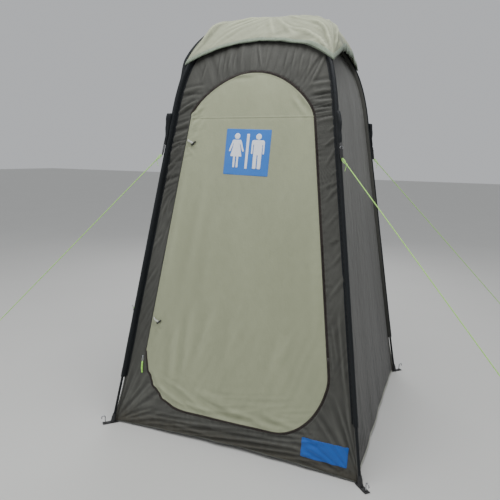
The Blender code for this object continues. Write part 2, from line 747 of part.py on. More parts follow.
def build_corner_feet():
    """A boot for each pole's end, on a webbing strap that is pegged to the ground."""
    radius = PROFILE[0][0]
    bore_from = POLE_START_Z - GAP
    for corner, (sx, sy) in CORNERS.items():
        sole = foot_ring(0.0, BOOT_RADIUS_LOW, corner, level=True)
        collar = foot_ring(BOOT_HEIGHT, BOOT_RADIUS_HIGH, corner)
        foot = place(f"corner_foot_{corner}", lofted([sole, collar]), "black_plastic")

        middle = on_diagonal(corner, radius + STRAP_OUT, STRAP_THICKNESS / 2)
        size = Matrix.Diagonal((STRAP_LENGTH, STRAP_WIDTH, STRAP_THICKNESS, 1))
        turn = Matrix.Rotation(math.atan2(sy, sx), 4, "Z")
        strap = bmesh.new()
        bmesh.ops.create_cube(strap, size=1.0, matrix=Matrix.Translation(middle) @ turn @ size)
        join(foot, place(f"strap_guide_{corner}", strap, "black_cloth"))

        away = Vector((sx, sy, 0)).normalized()
        hook = peg(on_diagonal(corner, radius + FOOT_PEG_OUT, 0.0), away)
        join(foot, place(f"peg_guide_{corner}", hook, "steel"))

        bore = [foot_ring(distance, SLEEVE_BORE, corner) for distance in (bore_from, 2 * BOOT_HEIGHT)]
        join(foot, place(f"bore_guide_{corner}", lofted(bore), "black_plastic"), "DIFFERENCE")


def main():
    """Builds every piece, the door and what it carries under an empty on the hinge."""
    clear_scene()
    low, _ = hinge_axis()
    hinge = bpy.data.objects.new("door_hinge_axis", None)
    hinge.location = low
    bpy.context.scene.collection.objects.link(hinge)
    build_poles()
    build_sleeves()
    build_plain_walls()
    build_front_wall()
    build_door(hinge)
    build_sign_and_label(hinge)
    build_toggles(hinge)
    build_zip_puller()
    build_roof()
    build_guy_points()
    build_guy_lines()
    build_corner_feet()


main()
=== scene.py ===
"""Looks of the toilet tent: cloth panels with their folds, the zipped door, the roof cap, and every finish.

Metres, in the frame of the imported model: +Z up, the door faces -Y. Each panel of cloth is drawn on the
face of the tent that carries it, from the same named values as its solid, with its folds added.
"""

import logging
import math
from collections.abc import Callable, Iterator, Sequence
from dataclasses import dataclass, field
from enum import Enum
from functools import cached_property

import bmesh
import bpy
import numpy as np
from mathutils import Matrix, Vector, noise

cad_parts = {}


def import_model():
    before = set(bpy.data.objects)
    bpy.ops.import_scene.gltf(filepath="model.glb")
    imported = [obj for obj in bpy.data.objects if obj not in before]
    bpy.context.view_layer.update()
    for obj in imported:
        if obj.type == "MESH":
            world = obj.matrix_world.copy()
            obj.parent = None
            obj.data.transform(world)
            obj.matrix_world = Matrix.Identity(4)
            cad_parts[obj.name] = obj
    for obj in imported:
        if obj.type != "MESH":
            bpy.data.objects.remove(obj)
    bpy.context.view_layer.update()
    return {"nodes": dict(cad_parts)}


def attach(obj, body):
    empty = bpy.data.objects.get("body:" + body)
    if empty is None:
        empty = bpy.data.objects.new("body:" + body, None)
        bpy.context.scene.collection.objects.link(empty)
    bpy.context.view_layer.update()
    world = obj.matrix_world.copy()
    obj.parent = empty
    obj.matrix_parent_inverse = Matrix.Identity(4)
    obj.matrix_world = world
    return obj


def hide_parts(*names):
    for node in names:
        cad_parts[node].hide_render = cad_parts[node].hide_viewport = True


LOG = logging.getLogger("toilet_tent")

Points = np.ndarray
Pair = tuple[float, float]
Triple = tuple[float, float, float]
Outline = Sequence[Pair]
Line = tuple[Points, Points]
Object = bpy.types.Object
Material = bpy.types.Material
Socket = bpy.types.NodeSocket

ROOT_TWO = math.sqrt(2.0)
UP = Vector((0, 0, 1))
TENT, DOOR = "tent", "door"
HINGE_HOLD = 0.011
EDGE_GAP = 0.0004
FOLD_SCALE = 0.0016
WALL_THICKNESS = 0.0012


class Named(Enum):
    """A place on the tent whose label is part of the pieces' names."""

    @property
    def label(self) -> str:
        """The name as the nodes have it."""
        return self.name.lower()


class Side(Named):
    """A face of the tent, with the turn about Z that brings the front there."""

    FRONT = 0
    RIGHT = 90
    BACK = 180
    LEFT = 270

    @property
    def turn(self) -> Points:
        """The rotation from the front to this face."""
        return np.array(Matrix.Rotation(math.radians(self.value), 3, "Z"))


class Corner(Named):
    """A corner of the tent, with the signs of its X and Y."""

    FRONT_LEFT = (-1, -1)
    FRONT_RIGHT = (1, -1)
    BACK_LEFT = (-1, 1)
    BACK_RIGHT = (1, 1)

    @property
    def over(self) -> bool:
        """True where the corner's pole passes over the other one at the top."""
        return self in (Corner.FRONT_LEFT, Corner.BACK_RIGHT)

    @property
    def outward(self) -> Vector:
        """Level unit direction from the tent's middle to the corner."""
        return Vector((*self.value, 0)) / ROOT_TWO

    @property
    def aside(self) -> Vector:
        """Level unit direction at right angles to the corner's diagonal."""
        sx, sy = self.value
        return Vector((-sy, sx, 0)) / ROOT_TWO


def smoothstep(value: Points | float, low: float, high: float) -> Points | float:
    """Rises smoothly from 0 at low to 1 at high."""
    share = np.clip((value - low) / (high - low), 0.0, 1.0)
    return share * share * (3 - 2 * share)


def fall(value: Points | float, low: float, high: float) -> Points | float:
    """Falls smoothly from 1 at low to 0 at high."""
    return 1 - smoothstep(value, low, high)


def window(value: Points | float, a: float, b: float, c: float, d: float) -> Points | float:
    """Rises from 0 at a to 1 at b, and falls back between c and d."""
    return smoothstep(value, a, b) * fall(value, c, d)


def bell(value: Points, width: float) -> Points:
    """1 at 0, and about a third at the width on both sides."""
    return np.exp(-((value / width) ** 2))


def bezier(points: Outline, steps: int) -> Points:
    """Points along a plane cubic curve, both ends included.

    Args:
        points: The curve's four control points.
        steps: How many equal steps its parameter takes.

    Returns:
        Rows of two numbers.
    """
    t = np.linspace(0, 1, steps + 1)[:, None]
    a, b, c, d = (np.array(p, dtype=float) for p in points)
    return (1 - t) ** 3 * a + 3 * t * (1 - t) ** 2 * b + 3 * t * t * (1 - t) * c + t**3 * d


def lengths_along(line: Points) -> Points:
    """The length of an open line up to each of its points."""
    return np.r_[0, np.cumsum(np.linalg.norm(np.diff(line, axis=0), axis=1))]


def resample(line: Points, pitch: float) -> Points:
    """An open line of points, spaced evenly at about one pitch."""
    lengths = lengths_along(line)
    count = max(2, int(round(lengths[-1] / pitch)) + 1)
    at = np.linspace(0, lengths[-1], count)
    return np.stack([np.interp(at, lengths, column) for column in line.T], axis=1)


def rightward(line: Points) -> Points:
    """Unit directions to the right of an open plane line, at each of its points."""
    along = np.gradient(line, axis=0)
    along /= np.linalg.norm(along, axis=1)[:, None]
    return np.stack([along[:, 1], -along[:, 0]], axis=1)


def offset_line(line: Points, distance: float) -> Points:
    """An open plane line, moved to its right-hand side."""
    return line + rightward(line) * distance


def distance_to(line: Points, x: Points, z: Points) -> tuple[Points, Points]:
    """How far points are from a plane line, and how far along it the nearest place is.

    Args:
        line: Rows of two numbers.
        x: First numbers of the points.
        z: Second numbers of the points.

    Returns:
        The distances, and the lengths along the line.
    """
    best = np.full(x.shape, np.inf)
    at = np.zeros(x.shape)
    for a, b, start in zip(line, line[1:], lengths_along(line)):
        step = b - a
        size = float(step @ step) or 1e-12
        share = np.clip(((x - a[0]) * step[0] + (z - a[1]) * step[1]) / size, 0, 1)
        far = np.hypot(x - a[0] - share * step[0], z - a[1] - share * step[1])
        near = far < best
        best = np.where(near, far, best)
        at = np.where(near, start + share * math.sqrt(size), at)
    return best, at


def soft_noise(a: Points, b: Points, scale_a: float, scale_b: float, seed: float) -> Points:
    """Smooth noise from -1 to 1 over two coordinates, each with its own size of bump."""
    flat_a, flat_b = np.ravel(a) / scale_a, np.ravel(b) / scale_b
    values = [noise.noise(Vector((u, v, seed))) for u, v in zip(flat_a, flat_b)]
    return np.array(values).reshape(np.shape(a))


def crests(a: Points, b: Points, turn: Points | float, size: Pair, seed: float) -> Points:
    """Long folds with sharp crests, from about -0.3 to 0.3.

    Args:
        a: First coordinates.
        b: Second coordinates.
        turn: Direction that the folds run in, in radians from the first axis.
        size: Distance between folds and their length.
        seed: Which set of folds.

    Returns:
        Heights of the folds.
    """
    cos, sin = np.cos(turn), np.sin(turn)
    return 0.28 - 1.4 * np.abs(soft_noise(b * cos - a * sin, a * cos + b * sin, *size, seed))


@dataclass(frozen=True)
class TentForm:
    """The tent's own shape: the pole's line in its diagonal plane, and the walls inside it."""

    foot_half: float = 0.625
    knee_half: float = 0.568
    knee_z: float = 0.36
    shoulder_half: float = 0.3886
    shoulder_z: float = 1.56
    apex_z: float = 1.983
    leg_handle: float = 0.44
    roof_handle: float = 0.21
    seam_inset: float = 0.0186
    crossing_lift: float = 0.0092
    crossing_reach: float = 0.35
    hem_z: float = 0.004
    hem_rise: float = 0.016
    wall_top_z: float = 1.8764
    sleeve_start_z: float = 0.24
    foot_steps: int = 18
    steps: int = 60

    @property
    def slope(self) -> float:
        """Change of half side with height on the straight part of a leg."""
        return (self.shoulder_half - self.knee_half) / (self.shoulder_z - self.knee_z)

    def leg_half(self, z: Points) -> Points:
        """Half side at the pole's centre below the shoulder, with the flare at the foot."""
        straight = self.knee_half + self.slope * (z - self.knee_z)
        extra = self.foot_half - (self.knee_half - self.slope * self.knee_z)
        flare = np.maximum(self.knee_z - z, 0.0) / self.knee_z
        return straight + extra * flare * flare

    @cached_property
    def profile(self) -> Points:
        """Rows of radius and height, from the foot to the apex."""
        low = np.linspace(0, self.knee_z, self.foot_steps + 1)[:-1]
        heights = np.r_[low, np.linspace(self.knee_z, self.shoulder_z, self.steps + 1)[:-1]]
        radius, lean = self.shoulder_half * ROOT_TWO, self.slope * ROOT_TWO
        handle = self.leg_handle / math.hypot(1.0, lean)
        start = (radius, self.shoulder_z)
        leaving = (radius + lean * handle, self.shoulder_z + handle)
        arch = bezier((start, leaving, (self.roof_handle, self.apex_z), (0.0, self.apex_z)), self.steps)
        return np.vstack([np.stack([self.leg_half(heights) * ROOT_TWO, heights], axis=1), arch])

    @cached_property
    def normals(self) -> Points:
        """Outward unit normals of the profile, straight up at the apex."""
        found = rightward(self.profile)
        found[-1] = (0.0, 1.0)
        return found

    @property
    def arch_start(self) -> int:
        """Row of the profile where the arch begins."""
        return len(self.profile) - self.steps - 1

    def lift(self, radius: Points | float) -> Points | float:
        """How far the upper pole rises to clear the lower one, near the apex."""
        share = np.minimum(np.abs(radius) / self.crossing_reach, 1.0)
        return self.crossing_lift * (1 - share * share) ** 2

    def offset(self, distance: float, lifted: bool = False) -> Points:
        """The profile moved outwards by a distance, and lifted near the apex if asked."""
        moved = self.profile + self.normals * distance
        if lifted:
            moved[:, 1] += self.lift(self.profile[:, 0])
        return moved

    @cached_property
    def wall_rows(self) -> Points:
        """Rows of half side and height of the walls' outer face."""
        return self.offset(-self.seam_inset) / (ROOT_TWO, 1.0)

    def wall_half(self, z: Points | float) -> Points | float:
        """Half side of the walls' outer face at a height."""
        return np.interp(z, self.wall_rows[:, 1], self.wall_rows[:, 0])

    def wall_run(self, z: Points) -> Points:
        """Length up the wall's cloth from the ground to a height."""
        return np.interp(z, self.wall_rows[:, 1], lengths_along(self.wall_rows))

    def wall_normal(self, z: Points) -> tuple[Points, Points]:
        """The front wall's outward normal at a height, as its -Y part and its Z part."""
        step = 0.004
        lean = (self.wall_half(z + step) - self.wall_half(z - step)) / (2 * step)
        size = np.hypot(1.0, lean)
        return 1 / size, -lean / size

    def hem(self, x: Points) -> Points:
        """Height of a wall's lower edge, a little higher in its middle."""
        reach = self.wall_half(self.hem_z)
        return self.hem_z + self.hem_rise * np.maximum(0.0, 1 - (x / reach) ** 2)

    def leg_row(self, z: float) -> float:
        """Row of the profile at a height."""
        heights = self.profile[:, 1]
        return float(np.interp(z, heights, np.arange(len(heights))))

    def on_leg(self, corner: Corner, row: float, out: float = 0.0, aside: float = 0.0) -> Vector:
        """A point off a corner's pole.

        Args:
            corner: Which pole.
            row: Row of the profile, with a fraction.
            out: Distance outwards, at right angles to the pole.
            aside: Distance at right angles to the corner's diagonal.

        Returns:
            The point.
        """
        low = min(int(row), len(self.profile) - 2)
        share = row - low
        lines = (self.profile, self.normals)
        place, normal = (line[low] * (1 - share) + line[low + 1] * share for line in lines)
        radius, z = place + normal * out
        if corner.over:
            z += float(self.lift(place[0]))
        return corner.outward * radius + corner.aside * aside + UP * z


def fold_share(out: Points, rounds: int = 5) -> Points:
    """Where cloth is on a crest, towards 1, or in a valley, towards -1, from a grid of its depths: the share
    that the finish turns into painted highlight and painted shade.
    """
    soft = out
    for _ in range(rounds):
        edged = np.pad(soft, 1, mode="edge")
        soft = (edged[1:-1, :-2] + edged[1:-1, 2:] + edged[:-2, 1:-1] + edged[2:, 1:-1]) / 4
    return np.clip((out - soft) / FOLD_SCALE, -1, 1)


@dataclass(frozen=True)
class Crease:
    """A fold in a panel: a line in the panel's X and Z, and the shape across it."""

    start_x: float
    start_z: float
    end_x: float
    end_z: float
    width: float
    height: float

    def depth(self, x: Points, z: Points) -> Points:
        """How far the fold moves the cloth outwards at each point."""
        run_x, run_z = self.end_x - self.start_x, self.end_z - self.start_z
        length = math.hypot(run_x, run_z)
        ux, uz = run_x / length, run_z / length
        off_x, off_z = x - self.start_x, z - self.start_z
        along = (off_x * ux + off_z * uz) / length
        across = (off_x * uz - off_z * ux) / self.width
        valley = 0.5 * bell(across - 1.9, 1.3)
        return self.height * window(along, -0.12, 0.3, 0.6, 1.12) * (bell(across, 1.0) - valley)


def creases_depth(creases: Sequence[Sequence[float]], x: Points, z: Points) -> Points:
    """How far all creases of a table together move the cloth outwards."""
    return sum((Crease(*row).depth(x, z) for row in creases), np.zeros(np.shape(x)))


@dataclass
class Panel:
    """A face of the tent that carries cloth: it turns X and Z on the face into places.

    The creases and the fields, worked out point by point, move the cloth off its face. They fade at the
    face's side edges, and at the hinge if there is one.
    """

    form: TentForm
    side: Side
    creases: Sequence[Sequence[float]] = ()
    fields: Sequence[Callable[[Points, Points], Points]] = ()
    hinge: Points | None = None
    edge_hold: float = 0.014

    def depth(self, x: Points, z: Points) -> Points:
        """How far the folds stand out at each point."""
        total = sum((each(x, z) for each in self.fields), creases_depth(self.creases, x, z))
        if self.hinge is None:
            return total
        return total * smoothstep(distance_to(self.hinge, x, z)[0], 0.0, HINGE_HOLD)

    def place(self, x: Points, z: Points, proud: float = 0.0) -> Points:
        """Places on the panel's outer face, with its folds.

        Args:
            x: Distances across the face, to the right as seen from outside.
            z: Heights.
            proud: Distance outwards from the cloth.

        Returns:
            Rows of three numbers.
        """
        half = self.form.wall_half(z)
        out = self.depth(x, z) * smoothstep(half - np.abs(x), 0.0, self.edge_hold) + proud
        n_y, n_z = self.form.wall_normal(z)
        return np.stack([x, -half - out * n_y, z + out * n_z], axis=-1) @ self.side.turn.T

    def point(self, x: float, z: float, proud: float) -> Vector:
        """One place on the panel's outer face."""
        return Vector(self.place(np.array([x]), np.array([z]), proud)[0])

    def facing(self, z: Points | float) -> Points:
        """Outward normals of the face at heights."""
        n_y, n_z = self.form.wall_normal(z)
        return np.stack([np.zeros_like(n_y), -n_y, n_z], axis=-1) @ self.side.turn.T

    def stitches(self, line: Points, proud: float = 0.0002) -> Line:
        """A line of stitches along rows of X and Z: its places and outward directions."""
        return self.place(line[:, 0], line[:, 1], proud), self.facing(line[:, 1])

    def hem_stitches(self, count: int) -> list[Line]:
        """Two lines of stitches over the hem."""
        x = np.linspace(-0.595, 0.595, count)
        return [self.stitches(np.stack([x, self.form.hem(x) + rise], axis=1)) for rise in (0.010, 0.014)]

    def cloth(self, x: Points, z: Points) -> Points:
        """Places of points in the flat cloth, for its weave."""
        return np.stack([x, self.form.wall_run(z)], axis=-1)

    def sheet(
        self,
        name: str,
        x: Points,
        z: Points,
        finish: Material,
        proud: float = 0.0,
        faces: Sequence[Sequence[int]] | None = None,
    ) -> Object:
        """An open sheet of cloth on the panel, whose finish follows its weave, with painted shade in its
        folds' valleys and painted highlight on their crests.

        Args:
            name: The object's name.
            x: Grid of distances across the face.
            z: Grid of heights.
            finish: The material.
            proud: Distance outwards from the cloth.
            faces: Corner numbers of each face, if not those of an open grid.

        Returns:
            The object.
        """
        # Crest and valley shares for the painted highlight and painted shade.
        crest = fold_share(self.depth(x, z))
        return grid_sheet(name, self.place(x, z, proud), self.cloth(x, z), finish, faces, crest)

    def tape(self, name: str, x: Points, z: Points, cloth: Line, finish: Material, proud: float) -> Object:
        """An open strip of tape on the panel, turned outwards.

        Args:
            name: The object's name.
            x: Grid of distances across the face.
            z: Grid of heights.
            cloth: Places across the tape and along it, which spread to the grid.
            finish: The material.
            proud: Distance outwards from the cloth.

        Returns:
            The object.
        """
        uvs = np.stack(np.broadcast_arrays(*cloth), axis=-1)
        made = grid_sheet(name, self.place(x, z, proud), uvs, finish)
        middle = np.array([p.center for p in made.data.polygons])
        normals = np.array([p.normal for p in made.data.polygons])
        if float(np.sum(middle[:, :2] * normals[:, :2])) < 0:
            made.data.flip_normals()
        return made

    def hem_tape(self, name: str, width: float, finish: Material) -> Object:
        """The narrow tape that binds a wall's lower edge."""
        x, rise = np.linspace(-0.606, 0.606, 200)[None, :], np.linspace(EDGE_GAP, width, 4)[:, None]
        grid_x, _ = np.broadcast_arrays(x, rise)
        made = self.tape(name, grid_x, self.form.hem(grid_x) + rise, (rise, x), finish, 0.0008)
        return stands_for(thicken(made, 0.0008), TENT)


def new_object(name: str, mesh: bpy.types.Mesh, finish: Material) -> Object:
    """Links a mesh as an object with one finish."""
    mesh.materials.append(finish)
    made = bpy.data.objects.new(name, mesh)
    bpy.context.scene.collection.objects.link(made)
    return made


def mesh_from(
    name: str,
    points: Sequence[Sequence[float]],
    faces: Sequence[Sequence[int]],
    uvs: Sequence[Sequence[float]] | None = None,
    folds: Points | None = None,
) -> bpy.types.Mesh:
    """A smooth mesh from its points and faces.

    Args:
        name: The mesh's name.
        points: Places, in rows or in a grid.
        faces: Corner numbers of each face.
        uvs: Cloth places of the points, if the finish follows them.
        folds: Crest or valley at each point, for the finish's painted highlight and painted shade, if it has
            them.

    Returns:
        The mesh.
    """
    mesh = bpy.data.meshes.new(name)
    mesh.from_pydata(np.reshape(np.asarray(points, dtype=float), (-1, 3)).tolist(), [], faces)
    if uvs is not None:
        corners = np.empty(len(mesh.loops), dtype=np.int32)
        mesh.loops.foreach_get("vertex_index", corners)
        places = np.reshape(np.asarray(uvs, dtype=np.float32), (-1, 2))
        mesh.uv_layers.new(name="cloth").data.foreach_set("uv", places[corners].ravel())
    # The fold attribute carries crest and valley for the finish's painted highlight and painted shade.
    if folds is not None:
        attribute = mesh.attributes.new("fold", "FLOAT", "POINT")
        attribute.data.foreach_set("value", np.asarray(folds, dtype=np.float32).ravel())
    mesh.shade_smooth()
    mesh.update()
    return mesh


def grid_faces(rows: int, columns: int, around: bool = False) -> list[tuple[int, ...]]:
    """Faces of a grid of points, row by row.

    Args:
        rows: Number of rows.
        columns: Number of points in a row.
        around: True if the last point of a row joins its first.

    Returns:
        Corner numbers of each face.
    """
    faces = []
    for start in range(0, (rows - 1) * columns, columns):
        for c in range(columns if around else columns - 1):
            d = (c + 1) % columns
            faces.append((start + c, start + d, start + columns + d, start + columns + c))
    return faces


def bar_faces(rows: int, sides: int) -> list[tuple[int, ...]]:
    """Faces of rings of points, with both ends closed."""
    low, high = tuple(range(sides)), tuple(range((rows - 1) * sides, rows * sides))
    return [*grid_faces(rows, sides, around=True), low[::-1], high]


def grid_sheet(
    name: str,
    places: Points,
    uvs: Points,
    finish: Material,
    faces: Sequence[Sequence[int]] | None = None,
    folds: Points | None = None,
) -> Object:
    """An open sheet from a grid of places and their cloth places, as an object."""
    mesh = mesh_from(name, places, faces or grid_faces(*places.shape[:2]), uvs, folds)
    return new_object(name, mesh, finish)


def settle(made: Object) -> Object:
    """Turns an object's modifiers into its mesh."""
    depsgraph = bpy.context.evaluated_depsgraph_get()
    mesh = bpy.data.meshes.new_from_object(made.evaluated_get(depsgraph))
    made.modifiers.clear()
    old, made.data = made.data, mesh
    bpy.data.meshes.remove(old)
    return made


def thicken(made: Object, thickness: float, offset: float = -1.0) -> Object:
    """Gives a sheet its thickness: inwards at offset -1, outwards at +1."""
    change = made.modifiers.new("thickness", "SOLIDIFY")
    change.thickness = thickness
    change.offset = offset
    change.use_even_offset = False
    return settle(made)


def weld(made: Object, distance: float = 1e-5, outward: bool = True) -> Object:
    """Merges doubled points, and drops flat faces and turns the rest outwards if asked."""
    bm = bmesh.new()
    bm.from_mesh(made.data)
    bmesh.ops.remove_doubles(bm, verts=bm.verts, dist=distance)
    if outward:
        bmesh.ops.dissolve_degenerate(bm, edges=bm.edges, dist=1e-7)
        bmesh.ops.recalc_face_normals(bm, faces=bm.faces)
    bm.to_mesh(made.data)
    bm.free()
    return made


def stations(path: Sequence[Vector]) -> Iterator[tuple[int, Vector, Vector, float]]:
    """Each point of a path, with its number, the direction there and the length so far."""
    run = 0.0
    for i, at in enumerate(path):
        run += (at - path[i - 1]).length if i else 0.0
        yield i, at, (path[min(i + 1, len(path) - 1)] - path[max(i - 1, 0)]).normalized(), run


def tube(
    name: str,
    path: Sequence[Vector],
    radius: float | Sequence[float],
    finish: Material,
    sides: int = 12,
    flatten: float = 1.0,
    up: Vector | None = None,
) -> Object:
    """A round bar along a path, closed at both ends with a small rounding.

    Args:
        name: The object's name.
        path: Points of its centre line.
        radius: One radius, or one for each point.
        finish: Its material.
        sides: Number of sides.
        flatten: Thickness across the up direction as a share of the width.
        up: Direction that the flat sides face.

    Returns:
        The object.
    """
    radii = [radius] * len(path) if isinstance(radius, float) else list(radius)
    start, end = (path[0] - path[1]).normalized(), (path[-1] - path[-2]).normalized()
    path = [path[0] + start * radii[0] * 0.5, *path, path[-1] + end * radii[-1] * 0.5]
    radii = [radii[0] * 0.55, *radii, radii[-1] * 0.55]
    side = (up or Vector((0.31, 0.17, 0.93))).normalized()
    points, uvs = [], []
    for i, at, along, run in stations(path):
        side = (side - along * side.dot(along)).normalized()
        across = along.cross(side)
        for j in range(sides):
            angle = 2 * math.pi * j / sides
            points.append(at + (across * math.cos(angle) + side * (math.sin(angle) * flatten)) * radii[i])
            uvs.append((radii[i] * angle, run))
    return weld(new_object(name, mesh_from(name, points, bar_faces(len(path), sides), uvs), finish))


def ribbon(
    name: str,
    path: Sequence[Vector],
    facing: Sequence[Vector],
    width: float,
    thickness: float,
    finish: Material,
) -> Object:
    """A flat strap along a path, with its outer face turned to the facing directions.

    Args:
        name: The object's name.
        path: Points of the strap's inner face, along its middle.
        facing: Outward direction at each point.
        width: The strap's width.
        thickness: The strap's thickness.
        finish: Its material.

    Returns:
        The object.
    """
    shares = np.linspace(-0.5, 0.5, 5)
    places, uvs = [], []
    for i, at, along, run in stations(path):
        out = (facing[i] - along * facing[i].dot(along)).normalized()
        across = along.cross(out)
        places.append([at + across * float(share * width) + out * (thickness * 0.5) for share in shares])
        uvs.append([(share * width, run) for share in shares])
    return weld(thicken(grid_sheet(name, np.array(places), np.array(uvs), finish), thickness, 0.0))


def ellipse(
    centre: Vector, first: Vector, second: Vector, count: int, turns: float = 1.0, drift: Vector | None = None
) -> list[Vector]:
    """Points round an ellipse, from the end of one half axis toward the other.

    Args:
        centre: The middle.
        first: The half axis to start from.
        second: The other half axis.
        count: Number of points.
        turns: How many times the points go round.
        drift: How far the points move on the way, for a helix.

    Returns:
        The points.
    """
    path = []
    for t in np.linspace(0, 1, count):
        angle = 2 * math.pi * turns * t
        moved = (drift or Vector()) * float(t - 0.5)
        path.append(centre + first * math.cos(angle) + second * math.sin(angle) + moved)
    return path


def joined(name: str, parts: Sequence[Object]) -> Object:
    """Makes one object of several, with their materials."""
    chosen = {"selected_objects": list(parts), "selected_editable_objects": list(parts)}
    with bpy.context.temp_override(active_object=parts[0], **chosen):
        bpy.ops.object.join()
    parts[0].name = name
    parts[0].data.name = name
    return parts[0]


def stands_for(made: Object, body: str, nodes: Sequence[str] = ()) -> Object:
    """Puts a finished piece on its body.

    Args:
        made: The piece.
        body: The body that it rides on.
        nodes: The nodes that it stands for.

    Returns:
        The piece.
    """
    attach(made, body)
    if nodes:
        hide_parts(*nodes)
    LOG.info("%s: %d faces on %s", made.name, len(made.data.polygons), body)
    return made


def deeper(colour: Sequence[float], factor: float) -> tuple[float, ...]:
    """A colour made darker or paler by a factor."""
    return tuple(min(1.0, c * factor) for c in colour)


class NodeGraph:
    """Short calls for building a material's nodes."""

    def __init__(self, name: str) -> None:
        """Starts a material with a plain Principled shader."""
        self.material = bpy.data.materials.new(name)
        self.material.use_nodes = True
        self.tree = self.material.node_tree
        self.shader = self.tree.nodes["Principled BSDF"]

    def add(self, kind: str, inputs: dict | None = None, **values: object) -> bpy.types.Node:
        """Adds a node, with its values and its inputs set or linked."""
        node = self.tree.nodes.new(kind)
        for key, value in values.items():
            setattr(node, key, value)
        for key, value in (inputs or {}).items():
            if isinstance(value, Socket):
                self.tree.links.new(value, node.inputs[key])
            else:
                node.inputs[key].default_value = value
        return node

    def set(self, **values: object) -> None:
        """Sets or links the shader's own sockets, with _ for a space in a name."""
        for key, value in values.items():
            socket = self.shader.inputs[key.replace("_", " ")]
            if isinstance(value, Socket):
                self.tree.links.new(value, socket)
            else:
                socket.default_value = value

    def cloth_place(self) -> Socket:
        """The piece's own place in its flat cloth, in metres."""
        return self.add("ShaderNodeUVMap", uv_map="cloth").outputs["UV"]

    def object_place(self) -> Socket:
        """The place on the piece, in metres."""
        return self.add("ShaderNodeTexCoord").outputs["Object"]

    def height(self) -> Socket:
        """The height above the ground."""
        return self.add("ShaderNodeSeparateXYZ", {"Vector": self.object_place()}).outputs["Z"]

    def scaled(self, place: Socket, scale: Triple) -> Socket:
        """A place with each axis scaled."""
        return self.add("ShaderNodeMapping", {"Vector": place, "Scale": scale}).outputs["Vector"]

    def grain(self, place: Socket, scale: float, detail: float = 2.0) -> Socket:
        """Noise from about 0.3 to 0.7."""
        inputs = {"Vector": place, "Scale": scale, "Detail": detail}
        return self.add("ShaderNodeTexNoise", inputs).outputs["Fac"]

    def threads(self, place: Socket, size: float, direction: str) -> Socket:
        """Soft bands along one axis, one for each thread."""
        inputs = {"Vector": place, "Scale": math.pi / (10 * size)}
        return self.add("ShaderNodeTexWave", inputs, bands_direction=direction).outputs["Fac"]

    def math(self, operation: str, a: object, b: object = 0.0) -> Socket:
        """One arithmetic step."""
        return self.add("ShaderNodeMath", {0: a, 1: b}, operation=operation).outputs[0]

    def ranged(
        self, value: Socket, low: float, high: float, to_low: float = 0.0, to_high: float = 1.0
    ) -> Socket:
        """A value moved from one range to another."""
        ends = {"From Min": low, "From Max": high, "To Min": to_low, "To Max": to_high}
        return self.add("ShaderNodeMapRange", {"Value": value, **ends}).outputs["Result"]

    def colours(
        self, share: Socket, first: Socket | Triple, second: Triple, low: float, high: float
    ) -> Socket:
        """A colour that goes from one, plain or linked, to a plain one as a share goes from low to high."""
        start = first if isinstance(first, Socket) else (*first, 1.0)
        inputs = {"Factor": self.ranged(share, low, high), 6: start, 7: (*second, 1.0)}
        return self.add("ShaderNodeMix", inputs, data_type="RGBA").outputs[2]

    def tint(self, share: Socket, colour: Triple, factors: Pair, low: float, high: float) -> Socket:
        """A colour between two depths of its own, as a share goes from low to high."""
        return self.colours(share, deeper(colour, factors[0]), deeper(colour, factors[1]), low, high)

    def bump(self, height: Socket, distance: float, under: Socket | None = None) -> Socket:
        """A bump of a height in metres, over another bump if given."""
        inputs = {"Height": height, "Distance": distance, "Strength": 1.0}
        if under is not None:
            inputs["Normal"] = under
        return self.add("ShaderNodeBump", inputs).outputs["Normal"]


@dataclass(frozen=True)
class Finish:
    """What every finish has: its name and its colour."""

    name: str
    colour: Triple

    def make(self) -> Material:
        """The finish as a material."""
        graph = NodeGraph(self.name)
        self.fill(graph)
        return graph.material

    def fill(self, graph: NodeGraph) -> None:
        """Sets the shader's sockets."""
        raise NotImplementedError


